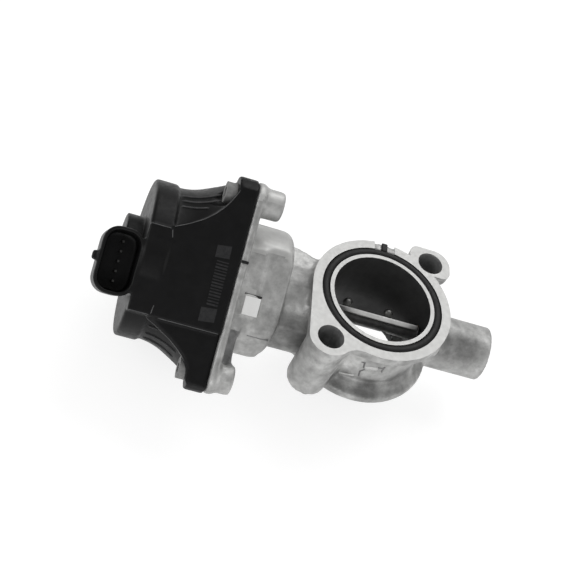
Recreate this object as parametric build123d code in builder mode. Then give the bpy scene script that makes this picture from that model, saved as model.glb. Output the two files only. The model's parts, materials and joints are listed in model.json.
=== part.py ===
"""Flap type exhaust gas recirculation valve with a direct drive rotary actuator.

Row frame, millimetres: the origin is the centre of the gas bore in the upper
flange face, +Z points out of that face, and +X runs along the flap shaft from
the actuator to the gas inlet tube.  The actuator has its own pair of directions
square to the shaft, U and F, turned about the shaft from +Y and +Z.  A sketch
on across(x) has the coordinates (U, F), and a sketch on front(f) has (X, U).
"""
from build123d import *
from math import asin, cos, degrees, radians, sin, sqrt
import os

# ---------------------------------------------------------------- gas bore and upper flange
BORE_R = 21.0                # gas bore
LIP_W = 1.7                  # metal lip between the bore and the seal groove
GROOVE_W = 3.4               # width of the face seal groove
GROOVE_D = 2.4               # depth of the face seal groove
SEAL_PROUD = 0.3             # the seal stands this much above the flange face
SEAL_GAP = 0.05
FLANGE_R = 30.0              # outer radius of the round part of the flange
FLANGE_T = 4.6               # flange thickness
BOLT_PCD = 67.4              # circle of the two through bolts
BOLT_ANGLE = 51.2            # direction of the first bolt hole from +X
BOLT_HOLE_R = 5.5
ROUND_EAR_R = 8.8            # rounded ear, second bolt hole
SQUARE_EAR_X = (12.0, 30.0)  # sides of the square ear
SQUARE_EAR_Y = (19.6, 34.0)
SQUARE_EAR_R = (3.7, 7.5)    # its left and right outer corners
SQUARE_EAR_FOOT_R = 4.0      # its right corner towards the flange
EAR_NECK_R = 9.0             # fillet between the round ear and the flange
EAR_NECK_ANGLE = 245.6       # direction of that fillet from +X
TAB_L = 4.4                  # seal tab beyond the groove
TAB_W = 2.6
TAB_ANGLE = 89.5             # direction of the seal tab from +X
TAB_POCKET_W = 9.0           # shallow pocket in the flange face round the tab
TAB_POCKET_D = 0.7

# ---------------------------------------------------------------- barrel below the flange
BARREL_WALL = 4.6
WAIST_Z = 22.6               # depth where the waist starts to flare
RIM_R = 31.0                 # lower rim
RIM_TOP_Z = 27.2
RIM_BOTTOM_Z = 34.0
RIM_ROUND = 5.4
SPIGOT_WALL = 3.0            # outlet spigot below the rim
SPIGOT_L = 4.0
RELIEF_W = 0.6               # undercut where a machined outside meets its shoulder
RELIEF_D = 0.3
COLUMN_L = 30.0              # depth of the bolt columns below the flange face
COLUMN_WEB_W = 15.0          # webs between the columns and the barrel

# ---------------------------------------------------------------- gas inlet tube
TUBE_R = 11.65
TUBE_WALL = 2.6
TUBE_END_X = 56.8
TUBE_Y = 8.2
TUBE_DROP = 26.6             # depth of the tube axis below the flange face
TUBE_LIP = 1.0               # rounding of the tube's mouth
PORT_R = 4.4                 # passage from the tube into the bore
PORT_DROP = 31.0             # depth of its axis below the flange face
TUBE_SHOULDER_X = 33.0       # where the tube narrows to the passage
COLLAR_R = 12.6              # collar at the tube's root
COLLAR_END_X = 31.5

# ---------------------------------------------------------------- shaft and flap
AXIS_DROP = 15.8             # depth of the shaft axis below the flange face
SHAFT_R = 3.0
SHAFT_END_X = (-90.6, 29.7)
FLAT_H = 1.4                 # height of the shaft's flat above its axis
FLAT_HALF = 21.0             # half length of the flat
FLAP_TILT = 41.0             # direction of the flap's normal from +Y at rest
FLAP_T = 2.0
FLAP_GAP = 0.5               # clearance of the flap in the bore
SCREW_PITCH = 18.0
SCREW_SHIFT = -1.6           # middle of the two flap screws along the shaft
FLAP_HEAD_R = 2.2
FLAP_HEAD_H = 3.4
FLAP_SHANK_R = 1.5
FIT_GAP = 0.02               # clearance of fixed fits
RUN_GAP = 0.03               # running clearance of the shaft in its bushes

# ---------------------------------------------------------------- shaft carriers in the housing
SHAFT_HOLE_R = 3.6           # holes that only let the shaft through
BUSH_R = 5.0
BUSH_L = 5.4
BUSH_X = 21.6                # both bushes start this far from the bore axis
FAR_BUSH_L = 7.4
PLUG_T = 1.6                 # core plug behind the far bush
PLUG_R = 5.6
LIP_SEAL_R = 6.5
LIP_SEAL_L = 5.0
LIP_SEAL_GAP = 0.2           # room behind the lip seal
BEARING_R = 7.5
BEARING_T = 5.0
BEARING_X = -39.6            # seat of the ball bearing
RACE_R = (4.15, 6.55)        # outside of the inner ring, inside of the outer ring
BALL_COUNT = 7
CLIP_T = 1.0
CLIP_DEPTH = 0.5             # groove depth of the circlip
CLIP_W = 1.3                 # radial width of the circlip
CLIP_GAP_W = 4.0

# ---------------------------------------------------------------- actuator frame
ACT_TILT = 37.7              # turn of U from +Y towards +Z
DRUM_R = 32.0
DRUM_END_X = -100.0
DRUM_BAND_X = -91.0          # end of the cylindrical band
DRUM_STEP = 1.0              # step from the band down to the flare
DRUM_EDGE_R = 1.2            # rounding of the drum's outer edge
END_BOSS_R = 16.0            # raised boss on the end face
END_BOSS_H = 7.0
FLARE_R = 25.0               # radius of the concave flare
FLARE_END_R = 48.0           # reach of the flare at the cover's rim
FLARE_TOP_R = 58.0           # beyond the cover's outline
JOINT_X = -63.5              # face between the cover and the housing
BASE_T = 3.2                 # cover rim at the joint face
SEAT_X = -71.0               # screw seats
MOTOR_R = 27.8               # cavity of the motor
END_WALL = 2.6
FRONT_F = 31.0               # flat front of the cover
FRONT_STEP = 1.4             # the lower part of the front lies this much deeper
BOX_U = (-21.5, 12.4)        # box over the wiring on the front
BASE_U = (-44.6, 39.2)       # base outline
BASE_REAR = (-3.0, -34.0)    # third screw, at the back
BASE_REAR_R = 8.0
BASE_CORNER_R = 7.0
SCREW_U = (-37.4, 32.0)      # the two front screws
SCREW_F = 23.6
EAR_R = 7.5                  # screw towers of the cover
POCKET_R = 6.0

# ---------------------------------------------------------------- connector
PLUG_X = (-115.4, -99.6)     # shroud of the connector, its mouth facing the front
PLUG_U = (-17.6, 8.2)
PLUG_BASE_F = 12.0
PLUG_MOUTH_F = 31.0
PLUG_WALL = 1.5
PLUG_CORNER_R = 6.2
PLUG_DEPTH = 12.0
LATCH_W = 3.6
LATCH_H = 2.2
LATCH_L = 5.0
PIN_COUNT = 5
PIN_PITCH = 3.8
PIN_W = 0.8
PIN_RUN_F = 15.0             # height of the pins' run through the end wall
PIN_TIP_F = 27.0

# ---------------------------------------------------------------- motor side of the housing
PLATE_T = 3.4
POT_R = 26.0
POT_FRONT_F = 20.0
POT_STRIP_F = 21.4
POT_STRIP_X = -51.5
POT_STRIP_W = 30.0
POT_END_X = -40.5
POT_ROUND = 4.0
POT_CAVITY_R = 16.8
POT_FLOOR_X = -47.2
NECK_R = 14.0
KEEL = ((-21.0, -6.0), (-21.0, 1.0), (-12.5, 12.5), (0, 12.5), (0, -10.0))  # underside of the neck, (U, F)
KEEL_END_X = -21.0
LOBE = ((-27.2, 0), (-26.4, 9.0), (-20.4, 14.6), (-14, 14.6), (-14, -5.0), (-26.0, -8.0))
LOBE_X = (-60.5, -43.5)      # lobe under the pot
EAR_BOSS_R = 6.0
EAR_BOSS_END_X = (-53.5, -51.8, -52.0)
PAD_X = (-56.6, -50.2)
PAD_U = (-11.6, -4.1)
PAD_H = 1.0
WEB_Z = (-14.0, -4.0)        # web between the pot and the flange
WEB_T = 5.0                  # web between the pot and the lower screw boss
WEB_U = 10.0                 # where that web starts inside the pot

# ---------------------------------------------------------------- cover screws
COVER_SCREW_R = 2.5
COVER_HEAD_R = 4.2
COVER_HEAD_H = 4.0
COVER_HEX_R = 2.3
COVER_SCREW_L = 15.0
SLEEVE_R = 3.9
GASKET_R = (28.7, 30.0)
GASKET_T = 1.2

# ---------------------------------------------------------------- torque motor
CORE_X = (-90.0, -71.0)
YOKE_W = 4.6
POLE_COUNT = 4
POLE_W = 8.0
SHOE_T = 2.4
SHOE_HALF_ANGLE = 33.0
AIR_GAP = 0.6
MAGNET_R = (9.0, 13.4)
MAGNET_ANGLE = 82.0
COIL_W = 3.6
COIL_GAP = 0.2
COIL_R = (17.0, 21.4)
HUB_X = (-89.0, -68.5)
BOARD_R = 26.5
BOARD_T = 1.6
CHIP_W = 5.0
CHIP_T = 1.2
SENSE_MAGNET_R = 3.6
SENSE_MAGNET_T = 2.4

# ---------------------------------------------------------------- return spring and stops
SPRING_R = 12.6
SPRING_WIRE = 1.5            # side of the square wire
SPRING_PITCH = 2.6
SPRING_TURNS = 4.0
SPRING_X = -65.0
CARRIER_R = 8.6
CARRIER_X = (-66.5, -52.0)
LEVER_T = 2.4
LEVER_TIP_R = 15.6
LEVER_W = 5.0
STOP_PIN_R = 1.4
STOP_PIN_AT_R = 12.8
STOP_GAP = 0.35
OPEN_ANGLE = -41.0           # flap parallel to the bore
CLOSED_ANGLE = 49.0          # flap square to the bore

# ---------------------------------------------------------------- derived places
SHAFT_POINT = Vector(0, 0, -AXIS_DROP)
SHAFT_AXIS = Axis(tuple(SHAFT_POINT), (1, 0, 0))
U_DIR = Vector(0, cos(radians(ACT_TILT)), sin(radians(ACT_TILT)))
F_DIR = Vector(0, -sin(radians(ACT_TILT)), cos(radians(ACT_TILT)))
SEAL_IN_R = BORE_R + LIP_W
SEAL_OUT_R = SEAL_IN_R + GROOVE_W
BARREL_R = BORE_R + BARREL_WALL
SPIGOT_R = BORE_R + SPIGOT_WALL
SPIGOT_END_Z = RIM_BOTTOM_Z + SPIGOT_L
TUBE_BOTTOM_Z = TUBE_DROP + COLLAR_R + 1.0
BOLT_X = BOLT_PCD / 2 * cos(radians(BOLT_ANGLE))
BOLT_Y = BOLT_PCD / 2 * sin(radians(BOLT_ANGLE))
FLAP_R = BORE_R - FLAP_GAP
FLAP_SCREW_X = (SCREW_SHIFT - SCREW_PITCH / 2, SCREW_SHIFT + SCREW_PITCH / 2)
FLARE_START_R = DRUM_R - DRUM_STEP
SCREW_PLACES = [(SCREW_U[0], SCREW_F), (SCREW_U[1], SCREW_F), BASE_REAR]
PIN_U = sum(PLUG_U) / 2
PIN_X = sum(PLUG_X) / 2
PIN_ROW = [PIN_U + (n - (PIN_COUNT - 1) / 2) * PIN_PITCH for n in range(PIN_COUNT)]
SHOE_R = MAGNET_R[1] + AIR_GAP


def across(x):
    """Plane square to the shaft at x, with coordinates (U, F)."""
    return Plane(origin=SHAFT_POINT + Vector(x, 0, 0), x_dir=U_DIR, z_dir=(1, 0, 0))


def front(f):
    """Plane parallel to the cover's flat front at height f, with coordinates (X, U)."""
    return Plane(origin=SHAFT_POINT + F_DIR * f, x_dir=(1, 0, 0), z_dir=F_DIR)


def flap_plane(height):
    """Plane of the flap at this height above the shaft axis, with x along the shaft."""
    normal = Vector(0, cos(radians(FLAP_TILT)), sin(radians(FLAP_TILT)))
    return Plane(origin=SHAFT_POINT + normal * height, x_dir=(1, 0, 0), z_dir=normal)


def degrees_of_stop():
    """Angle from the lever's middle to a stop pin that it touches, less the stop gap."""
    return degrees(asin((LEVER_W / 2 + STOP_PIN_R + STOP_GAP) / STOP_PIN_AT_R))


def finish(piece, name):
    """Label a finished piece and write its STEP file."""
    piece.part.label = name
    export_step(piece.part, f"parts/{name}.step")


os.makedirs("parts", exist_ok=True)


# ================================================================ shared outlines
def flange_outline():
    """Round flange with one round ear and one square ear, in the XY plane."""
    with BuildSketch() as outline:
        Circle(FLANGE_R)
        with BuildLine():
            Polyline((-FLANGE_R, 0), (-BOLT_X - ROUND_EAR_R, -BOLT_Y), (-BOLT_X, -BOLT_Y), (0, 0), close=True)
        make_face()
        with Locations((-BOLT_X, -BOLT_Y)):
            Circle(ROUND_EAR_R)
        neck = (FLANGE_R * cos(radians(EAR_NECK_ANGLE)), FLANGE_R * sin(radians(EAR_NECK_ANGLE)))
        fillet(outline.vertices().sort_by_distance(neck)[0], EAR_NECK_R)
        (left, right), (low, top) = SQUARE_EAR_X, SQUARE_EAR_Y
        with BuildLine():
            Polyline((left + SQUARE_EAR_R[0], top), (right - SQUARE_EAR_R[1], top))
            RadiusArc((right - SQUARE_EAR_R[1], top), (right, top - SQUARE_EAR_R[1]), SQUARE_EAR_R[1])
            Line((right, top - SQUARE_EAR_R[1]), (right, low + SQUARE_EAR_FOOT_R))
            RadiusArc((right, low + SQUARE_EAR_FOOT_R), (right - SQUARE_EAR_FOOT_R, low), SQUARE_EAR_FOOT_R)
            Polyline((right - SQUARE_EAR_FOOT_R, low), (left, low), (left, top - SQUARE_EAR_R[0]))
            RadiusArc((left, top - SQUARE_EAR_R[0]), (left + SQUARE_EAR_R[0], top), SQUARE_EAR_R[0])
        make_face()
    return outline.sketch


def base_outline():
    """Three eared outline of the joint between cover and housing, as (U, F)."""
    with BuildSketch() as outline:
        with BuildLine():
            CenterArc((BASE_U[0] + BASE_CORNER_R, FRONT_F - BASE_CORNER_R), BASE_CORNER_R, 0, 360)
            CenterArc((BASE_U[1] - BASE_CORNER_R, FRONT_F - BASE_CORNER_R), BASE_CORNER_R, 0, 360)
            CenterArc(BASE_REAR, BASE_REAR_R, 0, 360)
            CenterArc((0, 0), DRUM_R, 0, 360)
        make_hull()
        with Locations((0, FRONT_F + DRUM_R / 2)):
            Rectangle(2 * DRUM_R, DRUM_R, mode=Mode.SUBTRACT)
    return outline.sketch


def connector_pin_row(width):
    """Row of bent pins of this width, from the sensor board up into the connector."""
    with BuildPart() as row:
        for u in PIN_ROW:
            side = SHAFT_POINT + U_DIR * (u - width / 2)
            start = DRUM_END_X + END_WALL
            half = width / 2
            with BuildSketch(Plane(origin=side, x_dir=(1, 0, 0), z_dir=-U_DIR)):
                with BuildLine():
                    Polyline((start, PIN_RUN_F - half), (PIN_X - half, PIN_RUN_F - half),
                             (PIN_X - half, PIN_TIP_F), (PIN_X + half, PIN_TIP_F),
                             (PIN_X + half, PIN_RUN_F + half), (start, PIN_RUN_F + half), close=True)
                make_face()
            extrude(amount=-width)
    return row.part


# ================================================================ valve housing
with BuildPart() as housing:
    # upper flange
    with BuildSketch():
        add(flange_outline())
    extrude(amount=-FLANGE_T)
    # barrel, waist, lower rim and spigot
    with BuildSketch(Plane.XZ):
        with BuildLine():
            Polyline((0, -1), (BARREL_R, -1), (BARREL_R, -WAIST_Z))
            RadiusArc((BARREL_R, -WAIST_Z), (RIM_R, -RIM_TOP_Z), -6.0)
            Line((RIM_R, -RIM_TOP_Z), (RIM_R, -RIM_BOTTOM_Z + RIM_ROUND))
            RadiusArc((RIM_R, -RIM_BOTTOM_Z + RIM_ROUND), (RIM_R - RIM_ROUND, -RIM_BOTTOM_Z), RIM_ROUND)
            Polyline((RIM_R - RIM_ROUND, -RIM_BOTTOM_Z), (SPIGOT_R - RELIEF_D, -RIM_BOTTOM_Z),
                     (SPIGOT_R - RELIEF_D, -RIM_BOTTOM_Z - RELIEF_W), (SPIGOT_R, -RIM_BOTTOM_Z - RELIEF_W),
                     (SPIGOT_R, -SPIGOT_END_Z), (0, -SPIGOT_END_Z), (0, -1))
        make_face()
    revolve(axis=Axis.Z)
    # bolt columns
    with BuildSketch(Plane.XY.offset(-1)):
        with Locations((-BOLT_X, -BOLT_Y), (BOLT_X, BOLT_Y)):
            Circle(ROUND_EAR_R - 0.4)
        with Locations((-BOLT_X * 0.6, -BOLT_Y * 0.6), (BOLT_X * 0.6, BOLT_Y * 0.6)):
            Rectangle(COLUMN_WEB_W, COLUMN_WEB_W, rotation=BOLT_ANGLE)
    extrude(amount=-COLUMN_L + 1)
    # gas inlet tube with a collar at its root
    with BuildSketch(Plane.YZ.offset(10)):
        with Locations((TUBE_Y, -TUBE_DROP)):
            Circle(TUBE_R)
    extrude(amount=TUBE_END_X - 10)
    fillet(housing.edges().group_by(Axis.X)[-1], TUBE_LIP)
    with BuildSketch(Plane.YZ.offset(10)):
        with Locations((TUBE_Y, -TUBE_DROP)):
            Circle(COLLAR_R)
    extrude(amount=COLLAR_END_X - 10)
    # far bearing boss
    with BuildSketch(across(12)):
        Circle(PLUG_R + 2.0)
    extrude(amount=BUSH_X + FAR_BUSH_L + PLUG_T + 1.0 - 12)
    # motor pot, neck, plate and screw bosses
    with BuildSketch(across(JOINT_X)):
        Circle(POT_R)
    extrude(amount=POT_END_X - JOINT_X)
    fillet(housing.edges().filter_by(GeomType.CIRCLE).filter_by(
        lambda e: abs(e.radius - POT_R) < 0.01 and abs(e.center().X - POT_END_X) < 0.1), POT_ROUND)
    with BuildSketch(across(POT_END_X - 2)):
        Circle(NECK_R)
    extrude(amount=20)
    for start, end, corners in ((POT_END_X - 2, KEEL_END_X, KEEL), (LOBE_X[0], LOBE_X[1], LOBE)):
        with BuildSketch(across(start)):
            with BuildLine():
                Polyline(*corners, close=True)
            make_face()
        extrude(amount=end - start)
    with BuildSketch(front(POT_FRONT_F)):
        with Locations(((JOINT_X + POT_END_X) / 2, 0)):
            Rectangle(POT_END_X - JOINT_X + 2, 2 * POT_R)
    extrude(amount=POT_R, mode=Mode.SUBTRACT)
    with BuildSketch(front(0)):
        with Locations(((JOINT_X + POT_STRIP_X) / 2, 0)):
            Rectangle(POT_STRIP_X - JOINT_X, POT_STRIP_W)
    extrude(amount=POT_STRIP_F)
    with BuildSketch(across(JOINT_X)):
        add(base_outline())
    extrude(amount=PLATE_T)
    for place, end_x in zip(SCREW_PLACES, EAR_BOSS_END_X):
        with BuildSketch(across(JOINT_X)):
            with Locations(place):
                Circle(EAR_BOSS_R)
        extrude(amount=end_x - JOINT_X)
    # web from the pot to the lower screw boss
    with BuildSketch(across(JOINT_X)):
        with Locations(((SCREW_U[0] - WEB_U) / 2, SCREW_F - WEB_T / 2 - 2)):
            Rectangle(-SCREW_U[0] - WEB_U, WEB_T)
    extrude(amount=EAR_BOSS_END_X[0] - 1.5 - JOINT_X)
    # machined pad on the strip
    with BuildSketch(front(POT_STRIP_F - 1)):
        with Locations((sum(PAD_X) / 2, sum(PAD_U) / 2)):
            Rectangle(PAD_X[1] - PAD_X[0], PAD_U[1] - PAD_U[0])
    extrude(amount=PAD_H + 1)
    # web between the pot and the flange
    with BuildSketch(Plane.XY.offset(WEB_Z[0])):
        with BuildLine():
            Polyline((POT_END_X - 4, 19), (-37.2, 18.4), (-24, 14), (-24, 3.1), (-32.8, 3.1), (-36.0, 6.9),
                     (POT_END_X - 4, 7), close=True)
        make_face()
    extrude(amount=WEB_Z[1] - WEB_Z[0])
    # gas bore, seal groove and tab pocket
    with BuildSketch():
        Circle(BORE_R)
    extrude(amount=-TUBE_BOTTOM_Z, mode=Mode.SUBTRACT)
    with BuildSketch(Plane.XY.offset(-SPIGOT_END_Z)):
        Circle(SPIGOT_R)
    extrude(amount=SPIGOT_END_Z - TUBE_BOTTOM_Z, mode=Mode.SUBTRACT)
    with BuildSketch():
        Circle(SEAL_OUT_R)
        Circle(SEAL_IN_R, mode=Mode.SUBTRACT)
    extrude(amount=-GROOVE_D, mode=Mode.SUBTRACT)
    with BuildSketch():
        with Locations(Rotation(0, 0, TAB_ANGLE) * Location((SEAL_OUT_R + 6, 0))):
            Rectangle(16, TAB_POCKET_W)
        Circle(SEAL_IN_R + 1, mode=Mode.SUBTRACT)
    extrude(amount=-TAB_POCKET_D, mode=Mode.SUBTRACT)
    # bolt holes
    with BuildSketch():
        with Locations((BOLT_X, BOLT_Y), (-BOLT_X, -BOLT_Y)):
            Circle(BOLT_HOLE_R)
    extrude(amount=-SPIGOT_END_Z, mode=Mode.SUBTRACT)
    # undercut at the root of the inlet tube
    with BuildSketch(Plane.YZ.offset(COLLAR_END_X)):
        with Locations((TUBE_Y, -TUBE_DROP)):
            Circle(TUBE_R + RELIEF_D)
            Circle(TUBE_R - RELIEF_D, mode=Mode.SUBTRACT)
    extrude(amount=RELIEF_W, mode=Mode.SUBTRACT)
    # inside of the inlet tube
    with BuildSketch(Plane.YZ.offset(TUBE_SHOULDER_X)):
        with Locations((TUBE_Y, -TUBE_DROP)):
            Circle(TUBE_R - TUBE_WALL)
    extrude(amount=TUBE_END_X - TUBE_SHOULDER_X, mode=Mode.SUBTRACT)
    with BuildSketch(Plane.YZ.offset(12)):
        with Locations((TUBE_Y, -PORT_DROP)):
            Circle(PORT_R)
    extrude(amount=TUBE_SHOULDER_X - 12, mode=Mode.SUBTRACT)
    # seats along the shaft: through hole, bushes, plug, lip seal, bearing, circlip, motor cavity
    with BuildSketch(across(0)):
        Circle(SHAFT_HOLE_R)
    extrude(amount=BUSH_X + 0.1, both=True, mode=Mode.SUBTRACT)
    for start, end, radius in (
            (BUSH_X, BUSH_X + FAR_BUSH_L, BUSH_R + FIT_GAP),
            (BUSH_X + FAR_BUSH_L, BUSH_X + FAR_BUSH_L + PLUG_T + 1.0, PLUG_R + FIT_GAP),
            (-BUSH_X - BUSH_L, -BUSH_X, BUSH_R + FIT_GAP),
            (-BUSH_X - BUSH_L - LIP_SEAL_L, -BUSH_X - BUSH_L, LIP_SEAL_R + FIT_GAP),
            (BEARING_X, -BUSH_X - BUSH_L - LIP_SEAL_L, SHAFT_HOLE_R + 1.0),
            (POT_FLOOR_X, BEARING_X, BEARING_R + FIT_GAP),
            (BEARING_X - BEARING_T - CLIP_T - 0.1, BEARING_X - BEARING_T, BEARING_R + CLIP_DEPTH),
            (JOINT_X, POT_FLOOR_X, POT_CAVITY_R)):
        with BuildSketch(across(start)):
            Circle(radius)
        extrude(amount=end - start, mode=Mode.SUBTRACT)
    # tapped holes of the cover screws
    with BuildSketch(across(JOINT_X)):
        with Locations(*SCREW_PLACES):
            Circle(COVER_SCREW_R + FIT_GAP)
    extrude(amount=COVER_SCREW_L + SEAT_X - JOINT_X + 0.8, mode=Mode.SUBTRACT)

finish(housing, "valve_housing")

# ================================================================ actuator cover
with BuildPart() as cover:
    # base block that the flare is cut from
    with BuildSketch(across(DRUM_BAND_X)):
        add(base_outline())
    extrude(amount=JOINT_X - DRUM_BAND_X)
    with BuildSketch(front(0)):
        with BuildLine():
            reach = sqrt(FLARE_R ** 2 - (FLARE_START_R + FLARE_R - FLARE_END_R) ** 2)
            foot = DRUM_BAND_X + reach
            Polyline((JOINT_X, 0), (DRUM_BAND_X, 0), (DRUM_BAND_X, FLARE_START_R))
            RadiusArc((DRUM_BAND_X, FLARE_START_R), (foot, FLARE_END_R), -FLARE_R)
            Polyline((foot, FLARE_END_R), (foot, FLARE_TOP_R), (JOINT_X, FLARE_TOP_R), (JOINT_X, 0))
        make_face()
    revolve(axis=SHAFT_AXIS, mode=Mode.INTERSECT)
    # drum
    with BuildSketch(front(0)):
        with BuildLine():
            Polyline((DRUM_END_X + DRUM_EDGE_R, DRUM_R), (DRUM_BAND_X, DRUM_R), (DRUM_BAND_X, FLARE_START_R),
                     (JOINT_X - 6, FLARE_START_R), (JOINT_X - 6, 0), (DRUM_END_X, 0),
                     (DRUM_END_X, DRUM_R - DRUM_EDGE_R))
            RadiusArc((DRUM_END_X, DRUM_R - DRUM_EDGE_R), (DRUM_END_X + DRUM_EDGE_R, DRUM_R), DRUM_EDGE_R)
        make_face()
    revolve(axis=SHAFT_AXIS)
    # wiring box on the front
    with BuildSketch(front(0)):
        with Locations(((DRUM_END_X + JOINT_X) / 2, sum(BOX_U) / 2)):
            Rectangle(JOINT_X - DRUM_END_X, BOX_U[1] - BOX_U[0])
    extrude(amount=FRONT_F)
    # raised boss on the end face
    with BuildSketch(across(DRUM_END_X)):
        Circle(END_BOSS_R)
    extrude(amount=-END_BOSS_H)
    # rim along the joint and screw towers
    with BuildSketch(across(JOINT_X)):
        add(base_outline())
    extrude(amount=-BASE_T)
    with BuildSketch(across(JOINT_X)):
        with Locations(*SCREW_PLACES):
            Circle(EAR_R)
    extrude(amount=SEAT_X - JOINT_X)
    # lower part of the front lies deeper
    with BuildSketch(front(FRONT_F - FRONT_STEP)):
        with Locations(((DRUM_END_X + JOINT_X) / 2, BOX_U[0] - 20)):
            Rectangle(JOINT_X - DRUM_END_X, 40)
    extrude(amount=FRONT_STEP + 2, mode=Mode.SUBTRACT)
    # pockets over the screw seats
    with BuildSketch(across(SEAT_X)):
        with Locations(*SCREW_PLACES):
            Circle(POCKET_R)
    extrude(amount=DRUM_BAND_X - SEAT_X, mode=Mode.SUBTRACT)
    # connector shroud
    with BuildSketch(front(PLUG_BASE_F)):
        with Locations((PIN_X, PIN_U)):
            RectangleRounded(PLUG_X[1] - PLUG_X[0], PLUG_U[1] - PLUG_U[0], PLUG_CORNER_R)
    extrude(amount=PLUG_MOUTH_F - PLUG_BASE_F)
    with BuildSketch(front(PLUG_MOUTH_F - LATCH_L)):
        with Locations((PLUG_X[0] - LATCH_H / 2 + 0.5, PIN_U)):
            Rectangle(LATCH_H + 1, LATCH_W)
    extrude(amount=LATCH_L - 1)
    with BuildSketch(front(PLUG_MOUTH_F)):
        with Locations((PIN_X, PIN_U)):
            RectangleRounded(PLUG_X[1] - PLUG_X[0] - 2 * PLUG_WALL, PLUG_U[1] - PLUG_U[0] - 2 * PLUG_WALL,
                             PLUG_CORNER_R - PLUG_WALL)
    extrude(amount=-PLUG_DEPTH, mode=Mode.SUBTRACT)
    # motor cavity and gasket groove
    with BuildSketch(across(JOINT_X)):
        Circle(MOTOR_R)
    extrude(amount=DRUM_END_X + END_WALL - JOINT_X, mode=Mode.SUBTRACT)
    with BuildSketch(across(JOINT_X)):
        Circle(GASKET_R[1] + FIT_GAP)
        Circle(GASKET_R[0] - FIT_GAP, mode=Mode.SUBTRACT)
    extrude(amount=-GASKET_T, mode=Mode.SUBTRACT)
    # slots of the connector pins
    add(connector_pin_row(PIN_W + 2 * FIT_GAP), mode=Mode.SUBTRACT)
    # screw sleeves' holes
    with BuildSketch(across(JOINT_X)):
        with Locations(*SCREW_PLACES):
            Circle(SLEEVE_R + FIT_GAP)
    extrude(amount=SEAT_X - JOINT_X, mode=Mode.SUBTRACT)

finish(cover, "actuator_cover")

# ================================================================ seals and gaskets
with BuildPart() as flange_seal:
    with BuildSketch(Plane.XY.offset(-GROOVE_D)):
        Circle(SEAL_OUT_R - SEAL_GAP)
        Circle(SEAL_IN_R + SEAL_GAP, mode=Mode.SUBTRACT)
    extrude(amount=GROOVE_D + SEAL_PROUD)
    with BuildSketch(Plane.XY.offset(-TAB_POCKET_D)):
        with Locations(Rotation(0, 0, TAB_ANGLE) * Location((SEAL_OUT_R + TAB_L / 2 - 0.5, 0))):
            Rectangle(TAB_L + 1.0, TAB_W)
    extrude(amount=TAB_POCKET_D + SEAL_PROUD)
finish(flange_seal, "flange_seal")

with BuildPart() as cover_gasket:
    with BuildSketch(across(JOINT_X)):
        Circle(GASKET_R[1])
        Circle(GASKET_R[0], mode=Mode.SUBTRACT)
    extrude(amount=-GASKET_T)
finish(cover_gasket, "cover_gasket")


# ================================================================ shaft carriers
def ring(start, end, inner, outer):
    """Plain ring about the shaft axis from start to end."""
    with BuildPart() as piece:
        with BuildSketch(across(start)):
            Circle(outer)
            Circle(inner, mode=Mode.SUBTRACT)
        extrude(amount=end - start)
    return piece


finish(ring(BUSH_X, BUSH_X + FAR_BUSH_L, SHAFT_R + RUN_GAP, BUSH_R), "far_bush")
finish(ring(-BUSH_X - BUSH_L, -BUSH_X, SHAFT_R + RUN_GAP, BUSH_R), "near_bush")
lip_seal_start = -BUSH_X - BUSH_L - LIP_SEAL_L + LIP_SEAL_GAP
finish(ring(lip_seal_start, -BUSH_X - BUSH_L, SHAFT_R + RUN_GAP, LIP_SEAL_R), "shaft_seal")
finish(ring(BEARING_X - BEARING_T, BEARING_X, RACE_R[1], BEARING_R), "bearing_outer_ring")
finish(ring(BEARING_X - BEARING_T, BEARING_X, SHAFT_R + FIT_GAP, RACE_R[0]), "bearing_inner_ring")

with BuildPart() as end_plug:
    with BuildSketch(across(BUSH_X + FAR_BUSH_L + 1.0)):
        Circle(PLUG_R)
    extrude(amount=PLUG_T)
finish(end_plug, "end_plug")

with BuildPart() as bearing_balls:
    with Locations(across(BEARING_X - BEARING_T / 2)):
        with PolarLocations((RACE_R[0] + RACE_R[1]) / 2, BALL_COUNT):
            Sphere((RACE_R[1] - RACE_R[0]) / 2 - FIT_GAP)
finish(bearing_balls, "bearing_balls")

with BuildPart() as bearing_clip:
    with BuildSketch(across(BEARING_X - BEARING_T - CLIP_T - 0.05)):
        Circle(BEARING_R + CLIP_DEPTH - FIT_GAP)
        Circle(BEARING_R - CLIP_W, mode=Mode.SUBTRACT)
        with Locations((BEARING_R, 0)):
            Rectangle(2 * CLIP_W + 1, CLIP_GAP_W, mode=Mode.SUBTRACT)
    extrude(amount=CLIP_T)
finish(bearing_clip, "bearing_clip")

# ================================================================ shaft and flap
with BuildPart() as flap_shaft:
    with BuildSketch(across(SHAFT_END_X[0])):
        Circle(SHAFT_R)
    extrude(amount=SHAFT_END_X[1] - SHAFT_END_X[0])
    with BuildSketch(flap_plane(FLAT_H)):
        Rectangle(2 * FLAT_HALF, 2 * SHAFT_R + 1)
    extrude(amount=SHAFT_R, mode=Mode.SUBTRACT)
    with BuildSketch(flap_plane(FLAT_H)):
        with Locations((FLAP_SCREW_X[0], 0), (FLAP_SCREW_X[1], 0)):
            Circle(FLAP_SHANK_R + FIT_GAP)
    extrude(amount=-FLAT_H - SHAFT_R, mode=Mode.SUBTRACT)
finish(flap_shaft, "flap_shaft")

with BuildPart() as flap_plate:
    with BuildSketch(flap_plane(FLAT_H)):
        Circle(FLAP_R)
        with Locations((FLAP_SCREW_X[0], 0), (FLAP_SCREW_X[1], 0)):
            Circle(FLAP_SHANK_R + FIT_GAP, mode=Mode.SUBTRACT)
    extrude(amount=FLAP_T)
    chamfer(flap_plate.edges().filter_by(lambda e: e.length > 2 * FLAP_R), 0.3)
finish(flap_plate, "flap_plate")

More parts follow.
